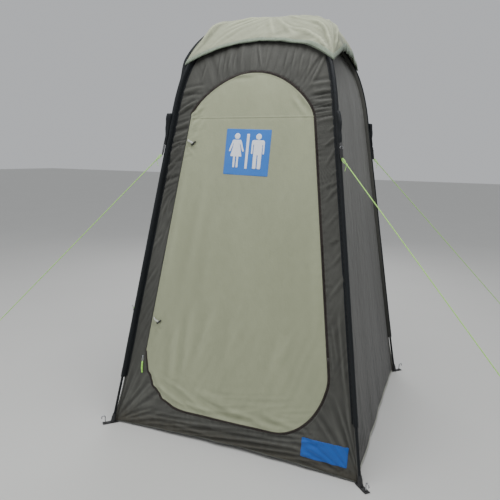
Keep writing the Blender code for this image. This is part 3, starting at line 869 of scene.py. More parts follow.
@dataclass(frozen=True)
class CoatedCloth(Finish):
    """Thin coated polyester: a fine weave, small crinkles, painted shade in its folds' valleys and painted
    highlight on their crests, colour scaled towards the ground as painted shade or painted light, and dirt
    near the ground.
    """

    roughness: float = 0.62
    sheen: float = 0.12
    thread: float = 0.0011
    crinkle: float = 0.0009
    shade: float = 0.10
    dirt: Triple | None = None
    # How much the fold attribute darkens valleys and pales crests: painted shade and painted highlight.
    folded: float = 0.16
    # Colour factor at the ground, easing to 1 up the wall: below 1 it is painted shade, above 1 painted
    # light.
    painted_light_at_ground: float = 1.0
    specular: float = 0.5

    def fill(self, graph: NodeGraph) -> None:
        """Sets the shader's sockets."""
        cloth = graph.cloth_place()
        broad = graph.grain(graph.scaled(cloth, (1.0, 0.35, 1.0)), 5.0, 3.0)
        colour = graph.tint(broad, self.colour, (1 - self.shade, 1 + self.shade), 0.35, 0.65)
        if self.dirt:
            splash = graph.math("MULTIPLY", graph.grain(cloth, 45.0, 4.0), 0.13)
            level = graph.math("SUBTRACT", splash, graph.height())
            colour = graph.colours(level, colour, self.dirt, -0.03, 0.06)
        # Painted shade and highlight: the colour is darkened in fold valleys and paled on crests.
        fold = graph.add("ShaderNodeAttribute", attribute_name="fold").outputs["Fac"]
        factor = graph.math("ADD", graph.math("MULTIPLY", fold, self.folded), 1.0)
        # Painted shading by height: the colour is scaled towards the ground, darker or lighter there than
        # higher up.
        if self.painted_light_at_ground != 1.0:
            factor = graph.math("MULTIPLY", factor, graph.ranged(graph.height(), 0.1, 1.25, self.painted_light_at_ground))
        worn = graph.add("ShaderNodeVectorMath", {0: colour, "Scale": factor}, operation="SCALE")
        warp, weft = (graph.threads(cloth, self.thread, axis) for axis in "XY")
        weave = graph.bump(graph.math("ADD", warp, weft), self.thread * 0.05)
        creased = graph.grain(graph.scaled(cloth, (1.0, 0.45, 1.0)), 28.0, 3.0)
        crinkled = graph.bump(creased, self.crinkle * 4, weave)
        fine = graph.bump(graph.grain(cloth, 120.0), self.crinkle * 0.5, crinkled)
        graph.set(Base_Color=worn.outputs["Vector"], Roughness=self.roughness, Normal=fine, IOR=1.45)
        graph.set(Sheen_Weight=self.sheen, Sheen_Roughness=0.45, Specular_IOR_Level=self.specular)


@dataclass(frozen=True)
class Netting(Finish):
    """Fine insect netting that lets some light through."""

    cell: float = 0.0022
    open_share: float = 0.42

    def fill(self, graph: NodeGraph) -> None:
        """Sets the shader's sockets."""
        cloth = graph.cloth_place()
        thread = graph.math("MAXIMUM", *(graph.threads(cloth, self.cell, axis) for axis in "XY"))
        colour = graph.tint(graph.grain(cloth, 30.0), self.colour, (1.0, 1.6), 0.3, 0.7)
        solid = graph.math("GREATER_THAN", thread, 1 - (1 - self.open_share) ** 2)
        graph.set(Alpha=solid, Base_Color=colour, Roughness=0.8, Normal=graph.bump(thread, 0.0002))


@dataclass(frozen=True)
class Webbing(Finish):
    """Woven tape or strap with ribs along its length."""

    rib: float = 0.0016

    def fill(self, graph: NodeGraph) -> None:
        """Sets the shader's sockets."""
        cloth = graph.cloth_place()
        ribs, picks = graph.threads(cloth, self.rib, "X"), graph.threads(cloth, self.rib / 0.8, "Y")
        woven = graph.math("MULTIPLY", ribs, picks)
        share = graph.math("ADD", woven, graph.grain(cloth, 60.0))
        colour = graph.tint(share, self.colour, (0.72, 1.25), 0.3, 1.3)
        bump = graph.bump(woven, self.rib * 0.25)
        graph.set(Base_Color=colour, Roughness=0.7, Sheen_Weight=0.15, Normal=bump)


@dataclass(frozen=True)
class Moulded(Finish):
    """Moulded plastic or pulled glass fibre: faint grain, small scuffs, satin gloss."""

    roughness: float = 0.42
    grain: float = 90.0
    streaks: Triple = (1.0, 1.0, 1.0)

    def fill(self, graph: NodeGraph) -> None:
        """Sets the shader's sockets."""
        place = graph.object_place()
        fine = graph.grain(graph.scaled(place, self.streaks), self.grain, 3.0)
        worn = graph.grain(place, self.grain * 0.4, 4.0)
        rough = graph.ranged(worn, 0.0, 1.0, self.roughness - 0.08, self.roughness + 0.14)
        colour = graph.tint(fine, self.colour, (0.8, 1.35), 0.3, 0.7)
        graph.set(Base_Color=colour, Roughness=rough, Normal=graph.bump(fine, 0.0002))


@dataclass(frozen=True)
class BraidedCord(Finish):
    """Bright braided cord or sewing thread, with a fleck in its strands."""

    fleck: Triple

    def fill(self, graph: NodeGraph) -> None:
        """Sets the shader's sockets."""
        fibres = graph.grain(graph.object_place(), 900.0)
        colour = graph.colours(fibres, self.fleck, self.colour, 0.3, 0.55)
        graph.set(Base_Color=colour, Roughness=0.6, Sheen_Weight=0.2, Normal=graph.bump(fibres, 0.00015))


@dataclass(frozen=True)
class Wire(Finish):
    """Zinc-plated steel wire, a little dull, with soil where it meets the ground."""

    soil: Triple = (0.10, 0.075, 0.05)

    def fill(self, graph: NodeGraph) -> None:
        """Sets the shader's sockets."""
        dull = graph.grain(graph.object_place(), 160.0, 4.0)
        level = graph.math("SUBTRACT", graph.math("MULTIPLY", dull, 0.016), graph.height())
        bare = graph.tint(dull, self.colour, (0.75, 1.0), 0.35, 0.65)
        colour = graph.colours(level, bare, self.soil, -0.004, 0.004)
        rough = graph.ranged(dull, 0.0, 1.0, 0.25, 0.5)
        graph.set(Base_Color=colour, Roughness=rough, Metallic=1.0, Normal=graph.bump(dull, 0.0001))


@dataclass(frozen=True)
class PlainGround(Finish):
    """The pale floor of the picture."""

    def fill(self, graph: NodeGraph) -> None:
        """Sets the shader's sockets."""
        soft = graph.grain(graph.object_place(), 1.5)
        graph.set(Base_Color=graph.tint(soft, self.colour, (0.98, 1.0), 0.3, 0.7), Roughness=0.9)


class Finishes:
    """Every finish of the tent, made once."""

    def __init__(self) -> None:
        """Makes the materials."""
        charcoal = (0.056, 0.0565, 0.0505)
        coated = {"roughness": 0.56, "dirt": (0.050, 0.046, 0.036), "specular": 0.22}
        # The folds' shares paint shade into valleys and highlight onto crests; the factor at the ground
        # paints light low on the front wall and shade low on the other walls.
        front = {"folded": 0.30, "painted_light_at_ground": 1.14, **coated}
        plain = {"folded": 0.13, "painted_light_at_ground": 0.34, **coated}
        sleeve = {"roughness": 0.55, "sheen": 0.03, "shade": 0.25, "specular": 0.3}
        door = {"roughness": 0.6, "sheen": 0.1, "crinkle": 0.0007, "shade": 0.04, "folded": 0.09}
        cap = {"crinkle": 0.0011, "shade": 0.05, "folded": 0.24}
        ink = {"roughness": 0.45, "crinkle": 0.0004}
        self.door = CoatedCloth("sage_cloth", (0.328, 0.352, 0.230), **door).make()
        self.cap = CoatedCloth("cap_cloth", (0.325, 0.345, 0.242), **cap).make()
        # One charcoal cloth in two copies: the other walls' copy is paler than the front's, painted light,
        # and much darker near the ground, painted shade.
        self.wall = CoatedCloth("charcoal_cloth", deeper(charcoal, 1.20), **front).make()
        self.side_wall = CoatedCloth("charcoal_side_cloth_painted_shading", deeper(charcoal, 1.36), **plain).make()
        self.sleeve = CoatedCloth("black_sleeve_cloth", (0.0085, 0.0105, 0.0125), **sleeve).make()
        self.sign = CoatedCloth("blue_print", (0.028, 0.18, 0.62), shade=0.04, **ink).make()
        label = {**ink, "crinkle": 0.0006}
        self.label = CoatedCloth("blue_label", (0.006, 0.100, 0.43), shade=0.06, **label).make()
        white = {**ink, "roughness": 0.5}
        self.white = CoatedCloth("white_print", (0.86, 0.89, 0.94), shade=0.03, **white).make()
        self.binding = Webbing("cap_binding", (0.22, 0.27, 0.20)).make()
        self.tape = Webbing("black_webbing", (0.014, 0.014, 0.015)).make()
        self.pale_tape = Webbing("pale_edging", (0.38, 0.39, 0.33)).make()
        self.dull_tape = Webbing("dull_edging", (0.088, 0.092, 0.078)).make()
        self.elastic = Webbing("white_elastic", (0.60, 0.62, 0.57)).make()
        self.zip_tape = Webbing("zip_tape", (0.028, 0.02, 0.016), rib=0.0009).make()
        self.zip_teeth = Moulded("zip_teeth", (0.035, 0.025, 0.02), roughness=0.35).make()
        self.netting = Netting("netting", (0.012, 0.014, 0.012)).make()
        self.rod = Moulded("fibreglass", (0.007, 0.007, 0.008), roughness=0.5, streaks=(1, 1, 0.08)).make()
        self.plastic = Moulded("black_plastic", (0.014, 0.014, 0.015)).make()
        self.neon_moulded = Moulded("neon_moulded", (0.36, 0.84, 0.12), roughness=0.5).make()
        self.neon = BraidedCord("neon_cord", (0.52, 0.94, 0.22), (0.28, 0.62, 0.08)).make()
        self.thread_dark = BraidedCord("dark_thread", (0.035, 0.035, 0.032), (0.02, 0.02, 0.018)).make()
        self.thread_sage = BraidedCord("sage_thread", (0.30, 0.31, 0.25), (0.24, 0.25, 0.20)).make()
        self.steel = Wire("zinc_wire", (0.52, 0.53, 0.55)).make()


class BeadTree:
    """A node tree that sets one rounded bead at each pitch along lines of points, for stitches,
    zip teeth and the strands of a cord."""

    INPUTS = {"Pitch": "Float", "Size": "Vector", "Turn": "Float", "Finish": "Material"}
    NODES = {
        "start": "NodeGroupInput",
        "end": "NodeGroupOutput",
        "curve": "GeometryNodeMeshToCurve",
        "spaced": "GeometryNodeResampleCurve",
        "bead": "GeometryNodeMeshUVSphere",
        "smooth": "GeometryNodeSetShadeSmooth",
        "tangent": "GeometryNodeInputTangent",
        "facing": "GeometryNodeInputNamedAttribute",
        "along": "FunctionNodeAlignRotationToVector",
        "outward": "FunctionNodeAlignRotationToVector",
        "axis": "ShaderNodeCombineXYZ",
        "twist": "FunctionNodeEulerToRotation",
        "turned": "FunctionNodeRotateRotation",
        "placed": "GeometryNodeInstanceOnPoints",
        "real": "GeometryNodeRealizeInstances",
        "dressed": "GeometryNodeSetMaterial",
    }
    SETTINGS = (
        ("spaced", "mode", "LENGTH"),
        ("facing", "data_type", "FLOAT_VECTOR"),
        ("along", "axis", "X"),
        ("outward", "axis", "Z"),
        ("outward", "pivot_axis", "X"),
        ("turned", "rotation_space", "LOCAL"),
    )
    VALUES = (
        ("bead", "Segments", 5),
        ("bead", "Rings", 3),
        ("bead", "Radius", 0.5),
        ("facing", "Name", "facing"),
    )
    LINKS = (
        ("start", "Lines", "curve", "Mesh"),
        ("curve", "Curve", "spaced", "Curve"),
        ("start", "Pitch", "spaced", "Length"),
        ("bead", "Mesh", "smooth", "Geometry"),
        ("tangent", "Tangent", "along", "Vector"),
        ("along", "Rotation", "outward", "Rotation"),
        ("facing", "Attribute", "outward", "Vector"),
        ("start", "Turn", "axis", "Z"),
        ("axis", "Vector", "twist", "Euler"),
        ("outward", "Rotation", "turned", "Rotation"),
        ("twist", "Rotation", "turned", "Rotate By"),
        ("spaced", "Curve", "placed", "Points"),
        ("smooth", "Geometry", "placed", "Instance"),
        ("turned", "Rotation", "placed", "Rotation"),
        ("start", "Size", "placed", "Scale"),
        ("placed", "Instances", "real", "Geometry"),
        ("real", "Geometry", "dressed", "Geometry"),
        ("start", "Finish", "dressed", "Material"),
        ("dressed", "Geometry", "end", "Beads"),
    )

    def __init__(self) -> None:
        """Makes the tree, and notes the identifier of each named input."""
        self.tree = bpy.data.node_groups.new("beads_along_a_line", "GeometryNodeTree")
        face = self.tree.interface
        face.new_socket(name="Lines", in_out="INPUT", socket_type="NodeSocketGeometry")
        self.inputs = {
            label: face.new_socket(name=label, in_out="INPUT", socket_type=f"NodeSocket{kind}").identifier
            for label, kind in self.INPUTS.items()
        }
        face.new_socket(name="Beads", in_out="OUTPUT", socket_type="NodeSocketGeometry")
        nodes = {label: self.tree.nodes.new(kind) for label, kind in self.NODES.items()}
        for label, key, value in self.SETTINGS:
            setattr(nodes[label], key, value)
        for label, key, value in self.VALUES:
            nodes[label].inputs[key].default_value = value
        for first, output, second, key in self.LINKS:
            self.tree.links.new(nodes[first].outputs[output], nodes[second].inputs[key])


class Beads:
    """Makes runs of stitches, teeth or strands with the bead tree."""

    STITCH = (0.0058, (0.0042, 0.0011, 0.0008))

    def __init__(self) -> None:
        """Builds the node tree once."""
        self.nodes = BeadTree()

    def run(
        self,
        name: str,
        lines: Sequence[Line],
        pitch: float,
        size: Triple,
        finish: Material,
        turn: float = 0.0,
    ) -> Object:
        """A mesh of beads along lines.

        Args:
            name: The object's name.
            lines: Pairs of places and outward directions, one row for each point.
            pitch: Distance between beads.
            size: Bead length along the line, width and height.
            finish: The beads' material.
            turn: Angle of each bead from the line, in radians.

        Returns:
            The object.
        """
        points, edges, facing = [], [], []
        for places, directions in lines:
            edges += [(i, i + 1) for i in range(len(points), len(points) + len(places) - 1)]
            points += np.asarray(places).tolist()
            facing += np.broadcast_to(directions, np.shape(places)).tolist()
        mesh = bpy.data.meshes.new(name)
        mesh.from_pydata(points, edges, [])
        attribute = mesh.attributes.new("facing", "FLOAT_VECTOR", "POINT")
        attribute.data.foreach_set("vector", np.array(facing, dtype=np.float32).ravel())
        made = bpy.data.objects.new(name, mesh)
        bpy.context.scene.collection.objects.link(made)
        change = made.modifiers.new("beads", "NODES")
        change.node_group = self.nodes.tree
        for label, value in (("Pitch", pitch), ("Size", size), ("Turn", turn), ("Finish", finish)):
            change[self.nodes.inputs[label]] = value
        settle(made)
        made.data.name = name
        return made

    def stitches(
        self, name: str, lines: Sequence[Line], finish: Material, slot: str, body: str = TENT
    ) -> Object:
        """Lines of stitches, on their body."""
        return stands_for(self.run(name, lines, *self.STITCH, finish), body)


@dataclass
class Doorway:
    """The door's outline in the front wall's X and Z, and the zip that follows it."""

    left_low: Pair = (-0.466, 0.40)
    left_high: Pair = (-0.304, 1.53)
    right_low: Pair = (0.452, 0.40)
    right_high: Pair = (0.293, 1.53)
    top_z: float = 1.716
    top_left_handles: Outline = ((-0.275, 1.585), (-0.15, 1.716))
    top_right_handles: Outline = ((0.268, 1.59), (0.15, 1.716))
    bottom_z: float = 0.128
    bottom_half: float = 0.22
    bottom_left_handles: Outline = ((-0.34, 0.128), (-0.455, 0.21))
    bottom_right_handles: Outline = ((0.325, 0.128), (0.435, 0.235))
    curve_steps: int = 40
    hinge_edge: float = 0.0024
    pitch: float = 0.0075
    eased: int = 12

    @cached_property
    def straight(self) -> Points:
        """The hinge as drawn, before its lower end is eased into the curve."""
        return resample(np.array([self.left_high, self.left_low]), self.pitch)

    @cached_property
    def outline(self) -> Points:
        """The whole outline: down the hinge, then round by the bottom, right side and top."""
        half, crown, steps = self.bottom_half, (0.0, self.top_z), self.curve_steps
        low_left = bezier(((-half, self.bottom_z), *self.bottom_left_handles, self.left_low), steps)[::-1]
        low_right = bezier(((half, self.bottom_z), *self.bottom_right_handles, self.right_low), steps)
        top_right = bezier((self.right_high, *self.top_right_handles, crown), steps)
        top_left = bezier((self.left_high, *self.top_left_handles, crown), steps)[-2::-1]
        rest = resample(np.vstack([low_left, low_right, top_right, top_left]), self.pitch)
        line = np.vstack([self.straight, rest[1:]])
        for _ in range(self.eased):
            line[1:-1] = (line[:-2] + 2 * line[1:-1] + line[2:]) / 4
        return line

    @cached_property
    def hinge_line(self) -> Points:
        """The hinge, from its upper end to its lower end."""
        return self.outline[: len(self.straight)]

    @cached_property
    def zip_line(self) -> Points:
        """The outline's part beside the zip, from the hinge's lower end, with waves low at the left."""
        line = self.outline[len(self.straight) - 1 :]
        run = np.arange(len(line)) * self.pitch
        wave = 0.0034 * np.sin(2 * np.pi * run / 0.082) + 0.0014 * np.sin(2 * np.pi * run / 0.037 + 1.0)
        return line + rightward(line) * (wave * window(run, 0.05, 0.12, 0.26, 0.36))[:, None]

    @cached_property
    def left_edge(self) -> Points:
        """The flap's left boundary from the middle of its bottom to its crown, going up."""
        line = self.zip_line
        low = line[: int(np.argmax(line[:, 0] > 0))][::-1]
        high = line[int(np.argmax(line[:, 1])) :][::-1]
        hinge = self.hinge_line[::-1] + (self.hinge_edge, 0.0)
        return np.vstack([low, hinge[1:-1], high])

    @cached_property
    def right_edge(self) -> Points:
        """The flap's right boundary from the middle of its bottom to its crown, going up."""
        line = self.zip_line
        return line[int(np.argmax(line[:, 0] >= 0)) : int(np.argmax(line[:, 1])) + 1]

    def hinge_x(self, z: float) -> float:
        """Where the hinge is at a height."""
        (low_x, low_z), (high_x, high_z) = self.left_low, self.left_high
        return low_x + (high_x - low_x) * (z - low_z) / (high_z - low_z)

    def loop(self, distance: float, hinge_distance: float) -> Points:
        """The whole outline moved outwards, by one distance at the zip and another at the hinge."""
        hinge = offset_line(self.hinge_line, hinge_distance)
        return np.vstack([offset_line(self.zip_line, distance), hinge[1:-1]])

    def edge_distance(self, x: Points, z: Points) -> Points:
        """How far points are from the outline."""
        return distance_to(np.vstack([self.zip_line, self.hinge_line]), x, z)[0]


@dataclass
class PlainWalls:
    """The left, right and back walls, with their hems."""

    form: TentForm
    finishes: Finishes
    beads: Beads
    columns: int = 104
    rows: int = 164
    foot: Pair = (0.585, 0.03)
    foot_pulls: Outline = ((0.16, 0.34), (0.30, 0.28), (0.52, 0.24), (0.86, 0.20), (1.15, 0.26))
    shoulder_pulls: Outline = ((1.60, 0.03), (1.50, 0.05), (1.66, 0.01))

    def pulls(self) -> list[tuple[float, ...]]:
        """Creases that fan out from the feet, and short ones from the shoulders."""
        rows = []
        for sx in (-1, 1):
            x, z = sx * self.foot[0], self.foot[1]
            for angle, reach in self.foot_pulls:
                end = (x - sx * reach * math.cos(angle), z + reach * math.sin(angle))
                rows.append((x, z, *end, 0.008, 0.0028))
            for high, drop in self.shoulder_pulls:
                rows.append((sx * 0.37, high, sx * 0.23, high - drop, 0.007, 0.0022))
        return rows

    def panel(self, side: Side, seed: float) -> Panel:
        """One wall with faint upright bands, a slack middle, waves at its hem and small crumples."""
        half = self.form.wall_half

        def bands(x: Points, z: Points) -> Points:
            share = x / half(z)
            wide = 0.0040 * soft_noise(share, z, 0.34, 1.6, seed)
            return wide + 0.0006 * soft_noise(share, z, 0.10, 1.2, seed + 3)

        def slack(x: Points, z: Points) -> Points:
            return -0.010 * (1 - (x / half(z)) ** 2) * np.sin(np.pi * np.clip(z / 1.6, 0, 1))

        def hem_waves(x: Points, z: Points) -> Points:
            return 0.006 * soft_noise(x, z, 0.14, 0.3, seed + 7) * np.exp(-z / 0.12)

        def crumples(x: Points, z: Points) -> Points:
            near = smoothstep(np.abs(x) / half(z), 0.72, 0.98)
            pulled = 0.0038 * near * crests(x, z, np.sign(x) * 0.75, (0.024, 0.12), seed + 13)
            return 0.0009 * soft_noise(x, z, 0.035, 0.06, seed + 11) + pulled

        return Panel(self.form, side, self.pulls(), (bands, slack, hem_waves, crumples))

    def build(self) -> None:
        """Builds the three walls and their stitches."""
        form = self.form
        share, up = np.meshgrid(np.linspace(-1, 1, self.columns), np.linspace(0, 1, self.rows))
        hem = form.hem(share * form.wall_half(form.hem_z))
        z = hem + (form.wall_top_z - hem) * up
        x = share * (form.wall_half(z) - EDGE_GAP)
        for number, side in enumerate((Side.RIGHT, Side.BACK, Side.LEFT)):
            panel, name = self.panel(side, 20.0 + 9 * number), f"{side.label}_wall"
            made = thicken(panel.sheet(f"{name}_cloth", x, z, self.finishes.side_wall), WALL_THICKNESS)
            stands_for(made, TENT, [name])
            lines = panel.hem_stitches(160)
            seam = self.beads.stitches(f"{name}_stitches", lines, self.finishes.thread_dark, "charcoal_cloth")
            tape = panel.hem_tape(f"{name}_hem_tape", 0.0105, self.finishes.pale_tape)


# The front wall's folds: each fold's start and end in X and Z, its width and its height.
FRONT_CREASES = (
    (-0.003, 1.84, 0.028, 1.735, 0.005, 0.0042), (0.046, 1.84, 0.048, 1.735, 0.004, 0.0022),
    (0.146, 1.815, 0.139, 1.70, 0.005, 0.0026), (0.178, 1.815, 0.174, 1.69, 0.005, 0.0030),
    (0.215, 1.80, 0.208, 1.675, 0.005, 0.0026), (0.258, 1.79, 0.243, 1.66, 0.006, 0.0032),
    (0.322, 1.785, 0.262, 1.64, 0.008, 0.0075), (0.296, 1.78, 0.228, 1.65, 0.006, -0.0040),
    (-0.249, 1.76, -0.262, 1.68, 0.005, 0.0030), (-0.182, 1.81, -0.180, 1.69, 0.004, 0.0024),
    (-0.156, 1.81, -0.154, 1.70, 0.004, 0.0026), (-0.131, 1.81, -0.134, 1.715, 0.004, 0.0028),
    (-0.110, 1.815, -0.108, 1.72, 0.004, 0.0024), (-0.080, 1.82, -0.072, 1.73, 0.004, 0.0018),
    (0.375, 1.664, 0.262, 1.650, 0.007, 0.0050), (0.385, 1.616, 0.276, 1.606, 0.006, -0.0062),
    (0.388, 1.585, 0.288, 1.576, 0.005, 0.0056), (0.392, 1.563, 0.296, 1.553, 0.005, -0.0050),
    (0.399, 1.516, 0.304, 1.497, 0.006, 0.0040), (0.361, 1.455, 0.415, 1.500, 0.006, 0.0030),
    (0.346, 1.390, 0.404, 1.440, 0.006, 0.0034), (0.358, 1.310, 0.410, 1.410, 0.006, 0.0036),
    (0.361, 1.222, 0.432, 1.254, 0.006, 0.0030), (0.372, 1.165, 0.436, 1.246, 0.006, 0.0032),
    (0.383, 1.272, 0.431, 1.306, 0.005, 0.0026), (0.390, 1.060, 0.440, 1.130, 0.006, 0.0026),
    (0.398, 0.985, 0.462, 1.020, 0.006, 0.0024), (0.410, 0.880, 0.470, 0.960, 0.007, 0.0026),
    (0.425, 0.760, 0.490, 0.860, 0.007, 0.0024), (0.446, 0.645, 0.487, 0.470, 0.007, 0.0034),
    (0.470, 0.690, 0.524, 0.380, 0.009, 0.0072), (0.500, 0.500, 0.572, 0.180, 0.010, 0.0060),
    (0.443, 0.590, 0.470, 0.430, 0.006, 0.0026), (-0.245, 1.658, -0.362, 1.642, 0.006, 0.0052),
    (-0.250, 1.628, -0.366, 1.622, 0.005, -0.0048), (-0.270, 1.598, -0.380, 1.536, 0.007, 0.0062),
    (-0.292, 1.570, -0.392, 1.516, 0.006, -0.0050), (-0.306, 1.500, -0.398, 1.462, 0.005, 0.0030),
    (-0.318, 1.452, -0.408, 1.414, 0.006, 0.0044), (-0.322, 1.419, -0.432, 1.368, 0.006, 0.0044),
    (-0.330, 1.404, -0.436, 1.320, 0.006, 0.0044), (-0.342, 1.343, -0.446, 1.258, 0.006, 0.0046),
    (-0.352, 1.322, -0.424, 1.272, 0.005, 0.0030), (-0.360, 1.294, -0.448, 1.202, 0.006, 0.0044),
    (-0.380, 1.252, -0.446, 1.142, 0.006, 0.0042), (-0.398, 1.198, -0.468, 1.080, 0.006, 0.0038),
    (-0.396, 1.130, -0.450, 1.010, 0.006, 0.0026), (-0.412, 0.960, -0.478, 0.880, 0.007, 0.0028),
    (-0.430, 0.800, -0.500, 0.690, 0.008, 0.0028), (-0.470, 0.560, -0.530, 0.430, 0.008, 0.0026),
    (-0.600, 0.020, -0.430, 0.142, 0.007, 0.0040), (-0.606, 0.016, -0.400, 0.122, 0.006, -0.0034),
    (-0.610, 0.012, -0.420, 0.098, 0.006, 0.0034), (-0.618, 0.006, -0.370, 0.076, 0.007, 0.0040),
    (-0.598, 0.060, -0.500, 0.190, 0.007, 0.0026), (-0.240, 0.078, 0.015, 0.101, 0.008, 0.0052),
    (-0.200, 0.056, 0.120, 0.086, 0.008, -0.0052), (0.030, 0.090, 0.235, 0.112, 0.008, 0.0040),
    (0.060, 0.066, 0.330, 0.088, 0.008, 0.0044), (-0.320, 0.062, -0.060, 0.040, 0.008, 0.0038),
    (0.590, 0.020, 0.420, 0.030, 0.008, 0.0030), (0.596, 0.060, 0.540, 0.240, 0.008, 0.0026),
)

@dataclass
class FrontWall:
    """The front wall as one sheet round the doorway, with its gathers and folds."""

    form: TentForm
    doorway: Doorway
    finishes: Finishes
    beads: Beads
    rings: int = 30
    opening: float = 0.0062
    hinge_opening: float = 0.0024
    hem_steps: int = 120
    side_steps: int = 199
    middle: Pair = (0.0, 0.93)
    finer_above: float = 0.9

    @cached_property
    def panel(self) -> Panel:
        """The front face with all its folds."""
        fields = (self.gathers, self.pulls, self.low_pulls, self.puckers, self.broad)
        return Panel(self.form, Side.FRONT, FRONT_CREASES, fields, self.doorway.hinge_line)

    def gathers(self, x: Points, z: Points) -> Points:
        """Fine upright gathers between the doorway's arch and the top."""
        over = smoothstep(z, 1.62, 1.70) * fall(np.abs(x), 0.27, 0.33)
        fan = x / (0.75 + 0.25 * smoothstep(z, 1.66, 1.84))
        fine = 0.0012 * crests(z, fan, 0.0, (0.014, 0.22), 3.0)
        return over * (fine + 0.0040 * soft_noise(fan, z, 0.032, 0.30, 4.0))

    def pulls(self, x: Points, z: Points) -> Points:
        """Slanting folds down both sides of the doorway, closer and steeper lower down."""
        beside = smoothstep(np.abs(x), 0.24, 0.30) * window(z, 0.30, 0.50, 1.62, 1.70)
        turn = np.radians(14 + 54 * smoothstep(1.62 - z, 0.0, 0.5))
        left = 0.35 + 0.65 * smoothstep(z, 0.85, 1.15)
        right = 0.22 + 0.78 * smoothstep(z, 1.47, 1.56)
        return beside * np.where(x < 0, left, right) * 0.0080 * crests(x, z, turn, (0.022, 0.14), 6.0)

    def low_pulls(self, x: Points, z: Points) -> Points:
        """Long folds along the sill and up from the feet."""
        low = fall(z, 0.10, 0.24) * fall(np.abs(x), 0.34, 0.50)
        along_sill = low * 0.0082 * crests(x, z, 0.10, (0.026, 0.30), 9.0)
        side = np.where(x < 0, -1.0, 1.0)
        reach = np.hypot(x - side * 0.63, z + 0.01)
        angle = np.arctan2(z + 0.01, 0.63 - np.abs(x))
        near = window(reach, 0.04, 0.12, 0.24, 0.42)
        return along_sill + near * 0.0100 * crests(reach * side, angle, 0.0, (0.115, 0.5), 12.0)

    def puckers(self, x: Points, z: Points) -> Points:
        """Small puckers where the cloth is sewn to the zip."""
        far, at = distance_to(self.doorway.zip_line, x, z)
        return 0.0022 * soft_noise(at, far, 0.013, 0.05, 8.0) * bell(far, 0.030)

    def broad(self, x: Points, z: Points) -> Points:
        """Slackness and crumples over the whole sheet."""
        wide = 0.0032 * soft_noise(x, z, 0.11, 0.16, 1.0)
        small = 0.0011 * soft_noise(x, z, 0.030, 0.045, 5.0)
        sill = -0.008 * fall(z, 0.03, 0.14) * (1 - np.clip(np.abs(x) / 0.6, 0, 1) ** 2)
        return wide + small + sill

    def outer_line(self) -> Points:
        """The sheet's outer boundary, as a closed line: the hem, up the right side, down the left one."""
        form = self.form
        reach = form.wall_half(form.hem_z) - EDGE_GAP
        x = np.linspace(-reach, reach, self.hem_steps + 1)
        z = np.linspace(form.hem_z, form.wall_top_z, self.side_steps + 1)
        right = np.stack([form.wall_half(z) - EDGE_GAP, z], axis=1)
        return np.vstack([np.stack([x, form.hem(x)], axis=1), right[1:], right[:0:-1] * (-1, 1)])

    def hits(self, line: Points, angles: Points) -> Points:
        """Where rays from the sheet's middle meet a closed line round it."""
        a, b = line - self.middle, np.roll(line, -1, axis=0) - self.middle
        found = []
        for d in np.stack([np.cos(angles), np.sin(angles)], axis=1):
            side_a, side_b = (d[0] * each[:, 1] - d[1] * each[:, 0] for each in (a, b))
            crossing = (side_a * side_b <= 0) & (np.abs(side_a - side_b) > 1e-12)
            share = np.where(crossing, side_a / np.where(crossing, side_a - side_b, 1.0), 0.0)
            ahead = np.where(crossing, (a + (b - a) * share[:, None]) @ d, 0.0)
            found.append(self.middle + d * ahead.max())
        return np.array(found)

    def grid(self) -> tuple[Points, Points]:
        """X and Z of rings of points, from the doorway out to the sheet's boundary."""
        inner, outer = self.doorway.loop(self.opening, self.hinge_opening), self.outer_line()
        top = self.hem_steps + self.side_steps
        rims = np.vstack([inner, outer[[0, self.hem_steps, top, top + 1]]]) - self.middle
        angles = np.unique(np.round(np.arctan2(rims[:, 1], rims[:, 0]), 6))
        upper = angles[(angles > self.finer_above) & (angles < math.pi - self.finer_above)]
        angles = np.sort(np.r_[angles, (upper[1:] + upper[:-1]) / 2])
        share = np.linspace(0, 1, self.rings)[:, None, None]
        flat = self.hits(inner, angles) * (1 - share) + self.hits(outer, angles) * share
        return flat[..., 0], flat[..., 1]

    def build(self) -> None:
        """Builds the sheet and its stitches."""
        x, z = self.grid()
        faces = [f[::-1] for f in grid_faces(*x.shape, around=True)]
        made = self.panel.sheet("front_wall_cloth", x, z, self.finishes.wall, faces=faces)
        thicken(made, WALL_THICKNESS)
        nodes = [f"front_wall_{part}" for part in ("left", "right", "over_door", "under_door")]
        stands_for(made, TENT, nodes)
        beside = self.panel.stitches(offset_line(self.doorway.zip_line, 0.0165))
        lines = [*self.panel.hem_stitches(240), beside]
        seam = self.beads.stitches("front_wall_stitches", lines, self.finishes.thread_dark, "charcoal_cloth")
        tape = self.panel.hem_tape("front_wall_hem_tape", 0.0042, self.finishes.dull_tape)


